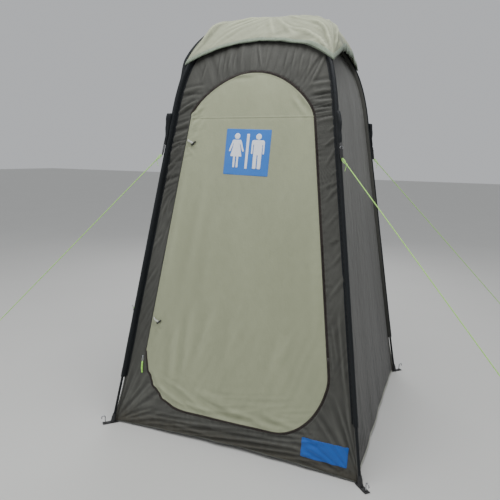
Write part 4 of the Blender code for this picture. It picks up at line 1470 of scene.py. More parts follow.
# The door's folds: each fold's start and end in X and Z, its width and its height.
DOOR_CREASES = (
    (-0.252, 1.572, -0.300, 1.515, 0.006, 0.0042), (-0.240, 1.560, -0.300, 1.478, 0.006, -0.0036),
    (-0.268, 1.530, -0.306, 1.452, 0.006, 0.0040), (-0.225, 1.520, -0.280, 1.420, 0.009, 0.0024),
    (0.215, 1.618, 0.280, 1.545, 0.007, 0.0030), (0.190, 1.600, 0.270, 1.505, 0.008, 0.0022),
    (-0.120, 1.700, 0.010, 1.703, 0.007, 0.0026), (-0.405, 0.232, -0.225, 0.152, 0.011, 0.0036),
    (-0.430, 0.300, -0.330, 0.180, 0.010, 0.0030), (-0.240, 0.172, -0.020, 0.146, 0.012, 0.0050),
    (-0.130, 0.150, 0.150, 0.150, 0.012, -0.0052), (-0.050, 0.190, 0.220, 0.152, 0.014, 0.0062),
    (0.040, 0.160, 0.300, 0.170, 0.012, -0.0044), (-0.300, 0.252, -0.150, 0.172, 0.014, 0.0042),
    (-0.180, 0.240, 0.030, 0.190, 0.018, 0.0040), (0.160, 0.200, 0.330, 0.170, 0.014, 0.0040),
    (-0.308, 0.520, -0.318, 0.200, 0.020, 0.0046), (-0.262, 0.560, -0.276, 0.250, 0.016, -0.0032),
    (-0.222, 0.620, -0.252, 0.290, 0.022, 0.0040), (-0.112, 0.640, -0.182, 0.300, 0.026, 0.0036),
    (0.010, 0.600, -0.040, 0.330, 0.028, 0.0026), (0.240, 0.560, 0.190, 0.330, 0.028, 0.0024),
    (-0.300, 1.300, -0.395, 0.640, 0.024, 0.0048), (-0.235, 1.200, -0.330, 0.560, 0.026, -0.0034),
    (-0.190, 1.250, -0.262, 0.640, 0.028, 0.0036), (-0.120, 1.120, -0.170, 0.640, 0.030, 0.0022),
    (0.330, 1.100, 0.390, 0.500, 0.022, 0.0022), (-0.324, 1.412, -0.250, 1.372, 0.008, 0.0026),
    (-0.326, 1.398, -0.262, 1.330, 0.008, 0.0022), (-0.444, 0.550, -0.372, 0.512, 0.009, 0.0026),
    (-0.444, 0.548, -0.386, 0.478, 0.009, 0.0022),
)

@dataclass
class DoorFlap:
    """The door's flap with its folds."""

    form: TentForm
    doorway: Doorway
    finishes: Finishes
    beads: Beads
    thickness: float = 0.0011
    middle_columns: int = 76
    edge_steps: Sequence[float] = (0.0, 0.0022, 0.0045, 0.0068, 0.009, 0.012, 0.017, 0.023)
    narrow: float = 0.2
    row_gap: float = 0.0018
    crown_rows: float = 0.02
    fold_z: float = 1.515
    fold_steps: Sequence[float] = (-0.008, -0.005, -0.003, -0.001, 0.001, 0.003, 0.005)

    @cached_property
    def panel(self) -> Panel:
        """The front face with the door's folds."""
        fields = (self.hem, self.puckers, self.broad, self.packing)
        return Panel(self.form, Side.FRONT, DOOR_CREASES, fields, self.doorway.hinge_line)

    def hem(self, x: Points, z: Points) -> Points:
        """The folded hem, thicker than the rest."""
        return 0.0007 * fall(self.doorway.edge_distance(x, z), 0.0085, 0.0105)

    def puckers(self, x: Points, z: Points) -> Points:
        """Small puckers beside the hinge seam and the zip."""
        far, _ = distance_to(self.doorway.hinge_line, x, z)
        high = smoothstep(z, 1.30, 1.38)
        seam = (0.0019 + 0.0034 * high) * crests(x, z, 0.32, (0.014, 0.08), 14.0)
        seam = seam * bell(far, 0.03 + 0.03 * high) * smoothstep(far, 0.0, 0.006)
        far, at = distance_to(self.doorway.zip_line, x, z)
        rim = 0.0011 * soft_noise(at, far, 0.015, 0.05, 17.0) * bell(far, 0.026)
        return (seam + rim) * smoothstep(far, 0.0, 0.004)

    def broad(self, x: Points, z: Points) -> Points:
        """Soft upright waves, fuller toward the hinge, folds low down and a slight slackness."""
        left = 0.35 + 0.65 * smoothstep(-x, -0.10, 0.30)
        waves = 0.0026 * left * soft_noise(x, z, 0.075, 0.55, 30.0)
        small = 0.0006 * soft_noise(x, z, 0.030, 0.050, 33.0)
        turn = 0.18 - 0.9 * np.clip(-x / 0.4, 0, 0.6)
        low = fall(z, 0.22, 0.36) * 0.0030 * crests(x, z, turn, (0.034, 0.26), 36.0)
        fan = 0.0026 * fall(z, 0.45, 0.75) * crests(x, z, 1.2, (0.045, 0.30), 39.0)
        return (waves + small + low + fan) * smoothstep(self.doorway.edge_distance(x, z), 0.0, 0.03)

    def packing(self, x: Points, z: Points) -> Points:
        """The sharp line across the door that folding it away has left."""
        over = z - (self.fold_z + 0.004 * x)
        return 0.0009 * bell(over, 0.0027) - 0.0006 * bell(over + 0.005, 0.003)

    def grid(self) -> tuple[Points, Points]:
        """X and Z of rows of points across the flap, closer at its edges and at the packing line."""
        doorway = self.doorway
        left, right = doorway.left_edge, doorway.right_edge
        heights = np.unique(np.round(np.r_[left[:, 1], right[:, 1]], 5))
        rows = [heights[0]]
        for z in heights[1:]:
            if z - rows[-1] > self.row_gap or z > doorway.top_z - self.crown_rows:
                rows.append(z)
        rows = np.unique(np.r_[rows, self.fold_z + np.array(self.fold_steps)])
        x = []
        for z in rows:
            low, high = (float(np.interp(z, edge[:, 1], edge[:, 0])) for edge in (left, right))
            if z <= doorway.bottom_z + 1e-5:
                low, high = -doorway.bottom_half, doorway.bottom_half
            width = high - low
            near = np.array(self.edge_steps) * min(1.0, width / self.narrow)
            middle = np.linspace(near[-1], width - near[-1], self.middle_columns)[1:-1]
            x.append(low + np.r_[near, middle, width - near[::-1]])
        x = np.array(x)
        return x, np.repeat(rows[:, None], x.shape[1], axis=1)

    def build(self) -> None:
        """Builds the flap and its stitches."""
        made = self.panel.sheet("door_flap_cloth", *self.grid(), self.finishes.door, 0.0003)
        thicken(weld(made, 1e-4, outward=False), self.thickness)
        stands_for(made, DOOR, ["door_flap"])
        rim = offset_line(self.doorway.zip_line, -0.0092)
        hinge = offset_line(self.doorway.hinge_line, -0.0085)
        lines = [self.panel.stitches(line, 0.0005) for line in (rim, hinge)]
        seam = self.beads.stitches("door_stitches", lines, self.finishes.thread_sage, "sage_cloth", DOOR)


def leaned(points: Outline, centre: Pair, lean: float) -> Outline:
    """Points round a centre, leaned clockwise by an angle."""
    cos, sin = math.cos(lean), math.sin(lean)
    return [(centre[0] + x * cos + z * sin, centre[1] - x * sin + z * cos) for x, z in points]


def rounded_plate(centre: Pair, size: Pair, lean: float, radius: float = 0.003) -> Outline:
    """Outline of a rectangle with rounded corners, leaned clockwise by an angle."""
    points = []
    for number, (sx, sz) in enumerate(((1, 1), (-1, 1), (-1, -1), (1, -1))):
        for angle in np.radians(90 * number + np.linspace(0, 90, 5)):
            x = sx * (size[0] / 2 - radius) + radius * math.cos(angle)
            points.append((x, sz * (size[1] / 2 - radius) + radius * math.sin(angle)))
    return leaned(points, centre, lean)


def printed_sheet(
    name: str,
    panel: Panel,
    outlines: Sequence[Outline],
    finish: Material,
    proud: float,
    thickness: float,
    pitch: float = 0.004,
) -> Object:
    """Thin patches laid on a panel, cut into a fine grid so that they follow its folds.

    Args:
        name: The object's name.
        panel: What carries the patches.
        outlines: Closed outlines in the panel's X and Z.
        finish: The material.
        proud: Distance of the outer face from the cloth.
        thickness: The patches' thickness.
        pitch: Size of the grid.

    Returns:
        The object.
    """
    bm = bmesh.new()
    for outline in outlines:
        bm.faces.new([bm.verts.new((x, 0.0, z)) for x, z in outline])
    ends = np.array([v.co for v in bm.verts])
    for axis in (0, 2):
        normal = np.eye(3)[axis]
        for at in np.arange(ends[:, axis].min() + pitch, ends[:, axis].max(), pitch):
            everything = bm.verts[:] + bm.edges[:] + bm.faces[:]
            bmesh.ops.bisect_plane(bm, geom=everything, dist=1e-7, plane_co=normal * at, plane_no=normal)
    bmesh.ops.triangulate(bm, faces=bm.faces[:])
    bm.verts.index_update()
    x, _, z = np.array([v.co for v in bm.verts]).T
    faces = [tuple(v.index for v in face.verts) for face in bm.faces]
    bm.free()
    made = grid_sheet(name, panel.place(x, z, proud), panel.cloth(x, z), finish, faces)
    return thicken(made, thickness)


@dataclass
class DoorSign:
    """The square sign on the door: a blue print with the common woman and man figures."""

    door: DoorFlap
    finishes: Finishes
    centre: Pair = (-0.005, 1.359)
    size: Pair = (0.218, 0.205)
    lean: float = math.radians(1.4)
    woman_x: float = -0.245
    man_x: float = 0.235
    head_radius: float = 0.062
    head_z: float = 0.343
    woman_half: Outline = (
        (0.072, 0.264), (0.094, 0.256), (0.104, 0.236), (0.170, 0.030), (0.166, 0.010), (0.148, 0.003),
        (0.132, 0.016), (0.078, 0.178), (0.070, 0.176), (0.128, -0.092), (0.122, -0.100), (0.060, -0.100),
        (0.060, -0.330), (0.050, -0.343), (0.024, -0.343), (0.014, -0.330), (0.014, -0.100),
    )
    man_half: Outline = (
        (0.094, 0.270), (0.128, 0.258), (0.143, 0.226), (0.145, -0.018), (0.136, -0.034), (0.118, -0.034),
        (0.109, -0.018), (0.108, 0.168), (0.094, 0.168), (0.092, -0.030), (0.090, -0.340), (0.078, -0.354),
        (0.026, -0.354), (0.012, -0.340), (0.011, -0.058),
    )
    bar: Outline = ((-0.027, -0.362), (0.027, -0.362), (0.031, 0.398), (-0.031, 0.398))

    def on_sign(self, points: Outline) -> Outline:
        """Turns shares of the sign into the door's X and Z."""
        return leaned([(u * self.size[0], w * self.size[1]) for u, w in points], self.centre, self.lean)

    def figure(self, half: Outline, middle: float) -> list[Outline]:
        """A figure's body, from its right half, and its round head."""
        right = [(middle + u, w) for u, w in half]
        left = [(middle - u, w) for u, w in reversed(half)]
        across, up = self.head_radius, self.head_radius * self.size[0] / self.size[1]
        turns = np.linspace(0, 2 * math.pi, 28, endpoint=False)
        head = [(middle + across * math.cos(t), self.head_z + up * math.sin(t)) for t in turns]
        return [self.on_sign(right + left), self.on_sign(head)]

    def build(self) -> None:
        """Builds the blue print and its white figures."""
        plate = rounded_plate(self.centre, self.size, self.lean)
        panel = self.door.panel
        blue = printed_sheet("door_sign_print", panel, [plate], self.finishes.sign, 0.0010, 0.0006)
        stands_for(blue, DOOR, ["door_sign"])
        shapes = [*self.figure(self.woman_half, self.woman_x), *self.figure(self.man_half, self.man_x)]
        shapes.append(self.on_sign(self.bar))
        white = printed_sheet("door_sign_figures", panel, shapes, self.finishes.white, 0.0014, 0.0003)
        stands_for(white, DOOR)


@dataclass
class WallLabel:
    """The sewn blue label low on the front wall, left plain."""

    wall: FrontWall
    finishes: Finishes
    beads: Beads
    centre: Pair = (0.458, 0.096)
    size: Pair = (0.205, 0.086)
    lean: float = math.radians(0.6)
    margin: float = 0.005

    def build(self) -> None:
        """Builds the label and the stitches round it."""
        panel, blue = self.wall.panel, self.finishes.label
        plate = rounded_plate(self.centre, self.size, self.lean)
        made = printed_sheet("wall_label_cloth", panel, [plate], blue, 0.0020, 0.0008)
        stands_for(made, TENT, ["wall_label"])
        inner = tuple(each - self.margin for each in self.size)
        rim = np.array(rounded_plate(self.centre, inner, self.lean))
        line = panel.stitches(resample(np.vstack([rim, rim[:1]]), 0.004), 0.0022)
        seam = self.beads.run("wall_label_stitches", [line], 0.0045, (0.0034, 0.0009, 0.0007), blue)
        stands_for(seam, TENT)


@dataclass
class Zip:
    """The zip round the door: a tape on the wall, a tape on the flap, teeth, slider and pull."""

    wall: FrontWall
    door: DoorFlap
    finishes: Finishes
    beads: Beads
    slider_z: float = 0.352
    slider_from_hinge: float = 0.0085
    slider_half: float = 0.0065
    slider_radii: Sequence[float] = (
        0.0030, 0.0036, 0.0038, 0.0034, 0.0030, 0.0032, 0.0040, 0.0044, 0.0038,
    )
    bridge: Outline = ((-0.004, 0.0042), (-0.003, 0.0062), (0, 0.0070), (0.003, 0.0062), (0.004, 0.0042))
    pull_start: float = 0.022
    pull_length: float = 0.078
    pull_lean: float = 0.002
    pull_ridges: int = 22

    def tape(self, panel: Panel, name: str, near: float, far: float, proud: float, cut: int) -> Object:
        """A tape beside the zip line, between two distances from it, cut short by some steps at both ends."""
        line = self.door.doorway.zip_line
        line = line[cut : len(line) - cut]
        across = np.linspace(near, far, 5)
        strips = np.array([offset_line(line, d) for d in across])
        cloth = (across[:, None], lengths_along(line)[None, :])
        made = panel.tape(name, strips[..., 0], strips[..., 1], cloth, self.finishes.zip_tape, proud)
        return thicken(made, 0.0006)

    def teeth(self, panel: Panel, name: str, distance: float, turn: float, cut: int) -> Object:
        """A row of coil teeth along the zip line, cut short by some steps at both ends."""
        line = resample(offset_line(self.door.doorway.zip_line, distance), 0.004)[cut:-cut]
        lines, size = [panel.stitches(line, 0.0016)], (0.0018, 0.0026, 0.0019)
        return self.beads.run(name, lines, 0.0026, size, self.finishes.zip_teeth, turn)

    def build(self) -> None:
        """Builds both halves of the zip and its slider."""
        wall, door = self.wall.panel, self.door.panel
        outer = self.tape(wall, "zip_tape_wall", 0.0026, 0.0078, 0.0004, 0)
        stands_for(outer, TENT, ["door_zip"])
        stands_for(self.tape(door, "zip_tape_door", -0.0042, 0.0020, 0.0009, 2), DOOR)
        stands_for(self.teeth(wall, "zip_teeth_wall", 0.0040, 0.12, 3), TENT)
        stands_for(self.teeth(door, "zip_teeth_door", 0.0012, -0.12, 5), DOOR)
        stands_for(self.slider(), TENT, ["zip_puller"])

    def slider(self) -> Object:
        """The slider at the zip's closed end, with its cord loop and moulded pull."""
        z, panel, finishes = self.slider_z, self.wall.panel, self.finishes
        x = self.door.doorway.hinge_x(z) - self.slider_from_hinge
        out = Vector(panel.facing(z))
        body = [panel.point(x, z + w, 0.0030) for w in np.linspace(-self.slider_half, self.slider_half, 9)]
        arch = [panel.point(x, z + w, proud) for w, proud in self.bridge]
        slant = self.pull_lean / self.pull_length
        loop, grip, radii = [], [], []
        for angle in np.linspace(0, 2 * math.pi, 25):
            fallen = 0.0125 * (1 + math.cos(angle))
            aside, proud = 0.0028 * math.sin(angle) + slant * fallen, 0.0041 + 0.0011 * math.cos(angle)
            loop.append(panel.point(x + aside, z + 0.0008 - fallen, proud))
        for t in np.linspace(0, 1, self.pull_ridges):
            swell = math.sin(math.pi * t)
            fallen = self.pull_start + t * (self.pull_length - 0.024)
            grip.append(panel.point(x + slant * fallen - 0.0016 * swell, z - fallen, 0.0046))
            groove = 0.0005 if int(t * self.pull_ridges) % 3 == 0 else 0.0
            radii.append(0.0036 + 0.0013 * swell**0.5 - groove)
        parts = [
            tube("slider_body", body, self.slider_radii, finishes.steel, 16, 0.55, out),
            tube("slider_bridge", arch, 0.0008, finishes.steel, 10),
            tube("pull_cord", loop, 0.0010, finishes.elastic, 8),
            tube("pull_grip", grip, radii, finishes.neon_moulded, 12, 0.8, out),
        ]
        return joined("zip_slider_and_pull", parts)


@dataclass
class DoorToggles:
    """Two toggles on pale elastic loops at the hinge side of the door."""

    door: DoorFlap
    finishes: Finishes
    heights: Sequence[tuple[str, float]] = (("upper", 1.405), ("lower", 0.547))
    from_seam: float = 0.011
    length: float = 0.033
    rise: float = 0.006
    drop: float = 0.016
    bar_length: float = 0.026
    bar_radius: float = 0.0044
    bar_lean: Vector = field(default_factory=lambda: Vector((0.80, 0, 0.60)))

    def build(self) -> None:
        """Builds each loop with its toggle bar."""
        panel = self.door.panel
        shares = np.linspace(-0.5, 0.5, 13)
        for name, z in self.heights:
            x = self.door.doorway.hinge_x(z) + self.from_seam
            path = []
            for t in np.linspace(0, 1, 14):
                proud = 0.0016 + 0.0050 * math.sin(math.pi * min(t, 0.98)) + 0.0030 * t
                path.append(panel.point(x + t * self.length, z + self.rise - t * self.drop, proud))
            facing = [Vector(panel.facing(z))] * len(path)
            strap = ribbon("strap", path, facing, 0.0085, 0.0016, self.finishes.elastic)
            end = panel.point(x + self.length, z + self.rise - self.drop, 0.0052)
            rod = [end + self.bar_lean * float(share * self.bar_length) for share in shares]
            radii = self.bar_radius * (0.72 + 0.28 * np.cos(2 * math.pi * shares) ** 2)
            bar = tube("bar", rod, radii, self.finishes.plastic, 14)
            stands_for(joined(f"toggle_{name}", [strap, bar]), DOOR, [f"door_toggle_{name}"])


@dataclass
class HingeSeam:
    """The sewn seam that the door hangs on."""

    form: TentForm
    doorway: Doorway
    finishes: Finishes

    def build(self) -> None:
        """Builds the rolled seam with its small puckers."""
        line = self.doorway.hinge_line[::-1]
        run = np.arange(len(line)) * self.doorway.pitch
        places = Panel(self.form, Side.FRONT).place(line[:, 0], line[:, 1], -0.0010)
        radii = 0.0017 + 0.00035 * soft_noise(run, run * 0, 0.014, 1.0, 2.0)
        made = tube("hinge_seam", [Vector(p) for p in places], radii, self.finishes.wall)
        stands_for(made, TENT, ["door_hinge_cord"])


@dataclass(frozen=True)
class Gore:
    """What sets one gore of the cap apart: its edge's arch, how full it is, and its folds."""

    scallop: float
    drawn_in: float
    billow: float
    fold_lean: float
    creases: Sequence[Sequence[float]]


GORES = {
    Side.FRONT: Gore(1.85, -0.015, 0.0, 0.66, (
        (-0.350, 0.02, -0.170, 0.24, 0.010, 0.0085), (-0.335, 0.01, -0.110, 0.23, 0.009, -0.0070),
        (-0.330, 0.03, -0.060, 0.26, 0.012, 0.0090), (-0.300, 0.05, -0.190, 0.27, 0.010, 0.0070),
        (-0.280, 0.05, 0.020, 0.25, 0.012, 0.0060), (-0.200, 0.06, 0.060, 0.22, 0.012, 0.0045),
        (0.360, 0.03, 0.170, 0.20, 0.010, 0.0075), (0.350, 0.02, 0.120, 0.15, 0.010, -0.0055),
        (0.345, 0.02, 0.080, 0.11, 0.010, 0.0060), (0.300, 0.10, 0.060, 0.24, 0.014, 0.0055),
        (0.150, 0.04, 0.050, 0.16, 0.012, 0.0040), (0.060, 0.03, 0.000, 0.18, 0.012, 0.0034),
    )),
    Side.RIGHT: Gore(0.9, 0.020, 0.030, -0.75, (
        (-0.350, 0.02, -0.150, 0.22, 0.012, 0.0060), (0.350, 0.02, 0.140, 0.24, 0.012, 0.0050),
    )),
    Side.BACK: Gore(1.65, -0.006, 0.008, 0.8, (
        (-0.350, 0.02, -0.120, 0.24, 0.011, 0.0070), (0.350, 0.02, 0.150, 0.20, 0.011, 0.0060),
        (0.300, 0.04, 0.060, 0.20, 0.011, -0.0045),
    )),
    Side.LEFT: Gore(1.65, -0.004, 0.006, -0.7, (
        (-0.350, 0.02, -0.140, 0.22, 0.011, 0.0060), (0.350, 0.02, 0.120, 0.24, 0.011, 0.0065),
    )),
}


@dataclass
class Roof:
    """The netting under the poles and the cap over them."""

    form: TentForm
    finishes: Finishes
    beads: Beads
    stand_off: float = 0.0150
    trim: float = 0.0011
    steps: float = 12.0
    rows: int = 78
    columns: int = 112
    deepest: float = 0.011
    stitch_share: float = 0.042
    tips: Sequence[float] = (2.15, 2.0, 2.9, 2.4)
    proud: Sequence[tuple[Corner, float, Triple, float]] = (
        (Corner.FRONT_RIGHT, 0.40, (0.042, 0.006, 0.010), 0.13),
        (Corner.FRONT_LEFT, 0.50, (-0.003, 0.0, 0.018), 0.065),
        (Corner.BACK_RIGHT, 0.42, (0.008, 0.008, 0.006), 0.13),
        (Corner.BACK_LEFT, 0.42, (-0.012, 0.012, 0.010), 0.13),
    )

    def arch(self, t: Points | float, distance: float) -> tuple[Points, Points, Points]:
        """Half side, height and normal of the cap's surface at shares of the arch.

        Args:
            t: Shares of the arch from the shoulder to the apex.
            distance: Stand-off from the pole's centre.

        Returns:
            Half sides, heights, and the outward normals' parts as rows of two numbers.
        """
        form = self.form
        table = np.hstack([form.offset(distance, lifted=True), form.normals])[form.arch_start :]
        at, index = np.clip(t, 0, 1) * form.steps, np.arange(form.steps + 1)
        radius, z, n_r, n_z = (np.interp(at, index, column) for column in table.T)
        return radius / ROOT_TWO, z, np.stack([n_r, n_z], axis=-1)

    def edge(self, side: Side, u: Points) -> Points:
        """Share of the arch at a gore's lower edge, between its two tips."""
        first = side.value // 90
        low, high = self.tips[first], self.tips[(first + 1) % 4]
        return (low * (1 - u) / 2 + high * (1 + u) / 2 + GORES[side].scallop * (1 - u * u)) / self.steps

    def gore_depth(self, side: Side, u: Points, q: Points) -> Points:
        """How far a gore's folds stand out, at shares across it and up it."""
        edge = self.edge(side, u)
        half, z, _ = self.arch(edge + (1 - edge) * q, self.stand_off)
        start_half, start_z, _ = self.arch(edge, self.stand_off)
        x, run = u * half, np.hypot(start_half - half, z - start_z)
        seed = 40.0 + side.value / 30
        lean = GORES[side].fold_lean * (1 - 0.25 * np.clip(run / 0.3, 0, 1))
        out = 1.5 * creases_depth(GORES[side].creases, x, run)
        out = out + 0.0045 * soft_noise(x, run, 0.10, 0.10, seed)
        out = out + 0.0125 * crests(x, run, lean, (0.062, 0.40), seed + 2)
        out = out + 0.0009 * crests(x, run, lean * 1.2, (0.018, 0.12), seed + 4)
        out = np.where(out < 0, self.deepest * np.tanh(out / self.deepest), out)
        held = np.where(out < 0, fall(np.abs(u), 0.52, 0.80), fall(np.abs(u), 0.90, 1.0))
        return out * held * fall(q, 0.75, 0.97)

    def gore(self, side: Side, u: Points, q: Points, distance: float) -> Points:
        """Places on one gore of the cap.

        Args:
            side: The face of the tent that the gore covers.
            u: Shares across the gore, from -1 to 1.
            q: Shares from its lower edge to the apex.
            distance: Stand-off from the pole's centre.

        Returns:
            Rows of three numbers.
        """
        edge = self.edge(side, u)
        half, z, normal = self.arch(edge + (1 - edge) * q, distance)
        full = GORES[side].billow * (1 - u * u) * np.sin(np.pi * q**0.5)
        drawn = GORES[side].drawn_in * (1 - u * u) ** 1.5 * bell(q, 0.20)
        out = self.gore_depth(side, u, q) + full + drawn
        normal = normal / (ROOT_TWO, 1.0)
        normal /= np.linalg.norm(normal, axis=-1, keepdims=True)
        flat = np.stack([u * half, -half - out * normal[..., 0], z + out * normal[..., 1]], axis=-1)
        return self.stand_proud(flat @ side.turn.T)

    def stand_proud(self, places: Points) -> Points:
        """Pushes out the cap's corners where they stand off the poles."""
        moved = places
        for corner, t, push, reach in self.proud:
            half, z, _ = self.arch(t, self.stand_off)
            far = np.linalg.norm(places - (corner.value[0] * half, corner.value[1] * half, z), axis=-1)
            moved = moved + bell(far, reach)[..., None] * push
        return moved

    def build(self) -> None:
        """Builds the netting, the cap, its binding and its seams."""
        self.build_netting()
        parts, bindings, lines = [], [], []
        u, q = np.meshgrid(np.linspace(-1, 1, self.columns + 1), np.linspace(0, 1, self.rows) ** 0.9)
        half, z, _ = self.arch(q, self.stand_off)
        for side in Side:
            places = self.gore(side, u, q, self.stand_off)
            uvs = np.stack([u * half + side.value, z + q * 0.35], axis=-1)
            # Crest and valley shares for the cap's painted highlight and painted shade.
            crest = fold_share(self.gore_depth(side, u, q))
            parts.append(grid_sheet(f"gore_{side.label}", places, uvs, self.finishes.cap, folds=crest))
            bindings.append(self.binding(side))
            lines.append(self.edge_stitches(side))
        # A dark tube stands in for the shade along the front left ridge.
        self.sleeve_end()
        cap = weld(joined("roof_cap_cloth", parts), 2e-4, outward=False)
        stands_for(thicken(cap, 0.0012), TENT, ["roof_cap"])
        binding = stands_for(joined("roof_cap_binding", bindings), TENT)
        lines += [self.ridge_stitches(corner) for corner in Corner]
        seams = self.beads.stitches("roof_cap_stitches", lines, self.finishes.thread_sage, "sage_cloth")

    def sleeve_end(self) -> None:
        """A dark tube in the sleeve's black cloth beside the cap's seam on the front left ridge: a dark piece
        that stands in for the shade along that ridge.
        """
        form, corner = self.form, Corner.FRONT_LEFT
        rows = form.arch_start + np.linspace(0.10, 0.56, 50) * form.steps
        share = np.linspace(0, 1, 50)
        rise = smoothstep(share, 0.0, 0.25)
        outs = (0.0010 + 0.0155 * rise) * (1 - 0.55 * share**2)
        path = [form.on_leg(corner, row, out, -0.0085 * up) for row, out, up in zip(rows, outs, rise)]
        radii = 0.0086 + 0.0026 * rise - 0.0062 * share
        made = tube("ridge_shade_band_front_left", path, radii, self.finishes.sleeve, 16, 0.8, corner.aside)
        stands_for(made, TENT)

    def edge_stitches(self, side: Side) -> Line:
        """The line of stitches over a gore's binding."""
        u, q = np.linspace(-1, 1, 160), np.full(160, self.stitch_share)
        edge = self.edge(side, u)
        _, _, normal = self.arch(edge + (1 - edge) * q, self.stand_off)
        flat = np.stack([np.zeros(len(u)), -normal[:, 0] / ROOT_TWO, normal[:, 1]], axis=-1)
        return self.gore(side, u, q, self.stand_off + self.trim), flat @ side.turn.T

    def ridge_stitches(self, corner: Corner) -> Line:
        """The line of stitches beside the seam over a pole."""
        sx, sy = corner.value
        q = np.linspace(0.06, 0.93, 120)
        u = np.full(len(q), -sx * sy * 0.98)
        places = self.gore(Side.FRONT if sy < 0 else Side.BACK, u, q, self.stand_off + self.trim)
        return places, np.array((corner.outward + UP * 0.8).normalized())

    def binding(self, side: Side) -> Object:
        """The tape folded over one gore's lower edge."""
        u = np.linspace(-1, 1, 121)
        grid_u, grid_q = np.meshgrid(u, (0.012, 0.024, 0.034))
        outer = self.gore(side, grid_u, grid_q, self.stand_off + self.trim)
        inner = self.gore(side, grid_u, grid_q, self.stand_off - 0.0022)[::-1]
        rim, above = (self.gore(side, u, np.full(len(u), q), self.stand_off - 0.0006) for q in (0.0, 0.02))
        rows = np.concatenate([inner, (rim + (rim - above) * 0.12)[None], outer])
        run = np.meshgrid(np.linspace(0, 0.014, len(rows)), np.linspace(0, 0.8, len(u)), indexing="ij")
        made = grid_sheet(f"binding_{side.label}", rows, np.stack(run, axis=-1), self.finishes.binding)
        return thicken(made, 0.0007, 1.0)

    def build_netting(self) -> None:
        """The netting dome inside the poles, from the walls' top edge to the apex."""
        form = self.form
        rows = form.offset(-form.seam_inset)
        rows = rows[int(np.argmax(rows[:, 1] >= form.wall_top_z)) :]
        across = np.linspace(-1, 1, 33)
        half = rows[:, :1] / ROOT_TWO
        x, z = half * across, np.repeat(rows[:, 1:], len(across), axis=1)
        z[0] = form.wall_top_z + 0.0003
        sag = -0.008 * (1 - across**2) * np.sin(np.linspace(0, math.pi, len(rows)))[:, None]
        flat = np.stack(np.broadcast_arrays(x, -half, z + sag), axis=-1)
        uvs = np.stack(np.broadcast_arrays(x, lengths_along(rows)[:, None]), axis=-1)
        netting = self.finishes.netting
        parts = [grid_sheet(f"netting_{side.label}", flat @ side.turn.T, uvs, netting) for side in Side]
        made = thicken(weld(joined("roof_netting", parts), 2e-4, outward=False), 0.0005)
        stands_for(made, TENT, ["roof_mesh"])


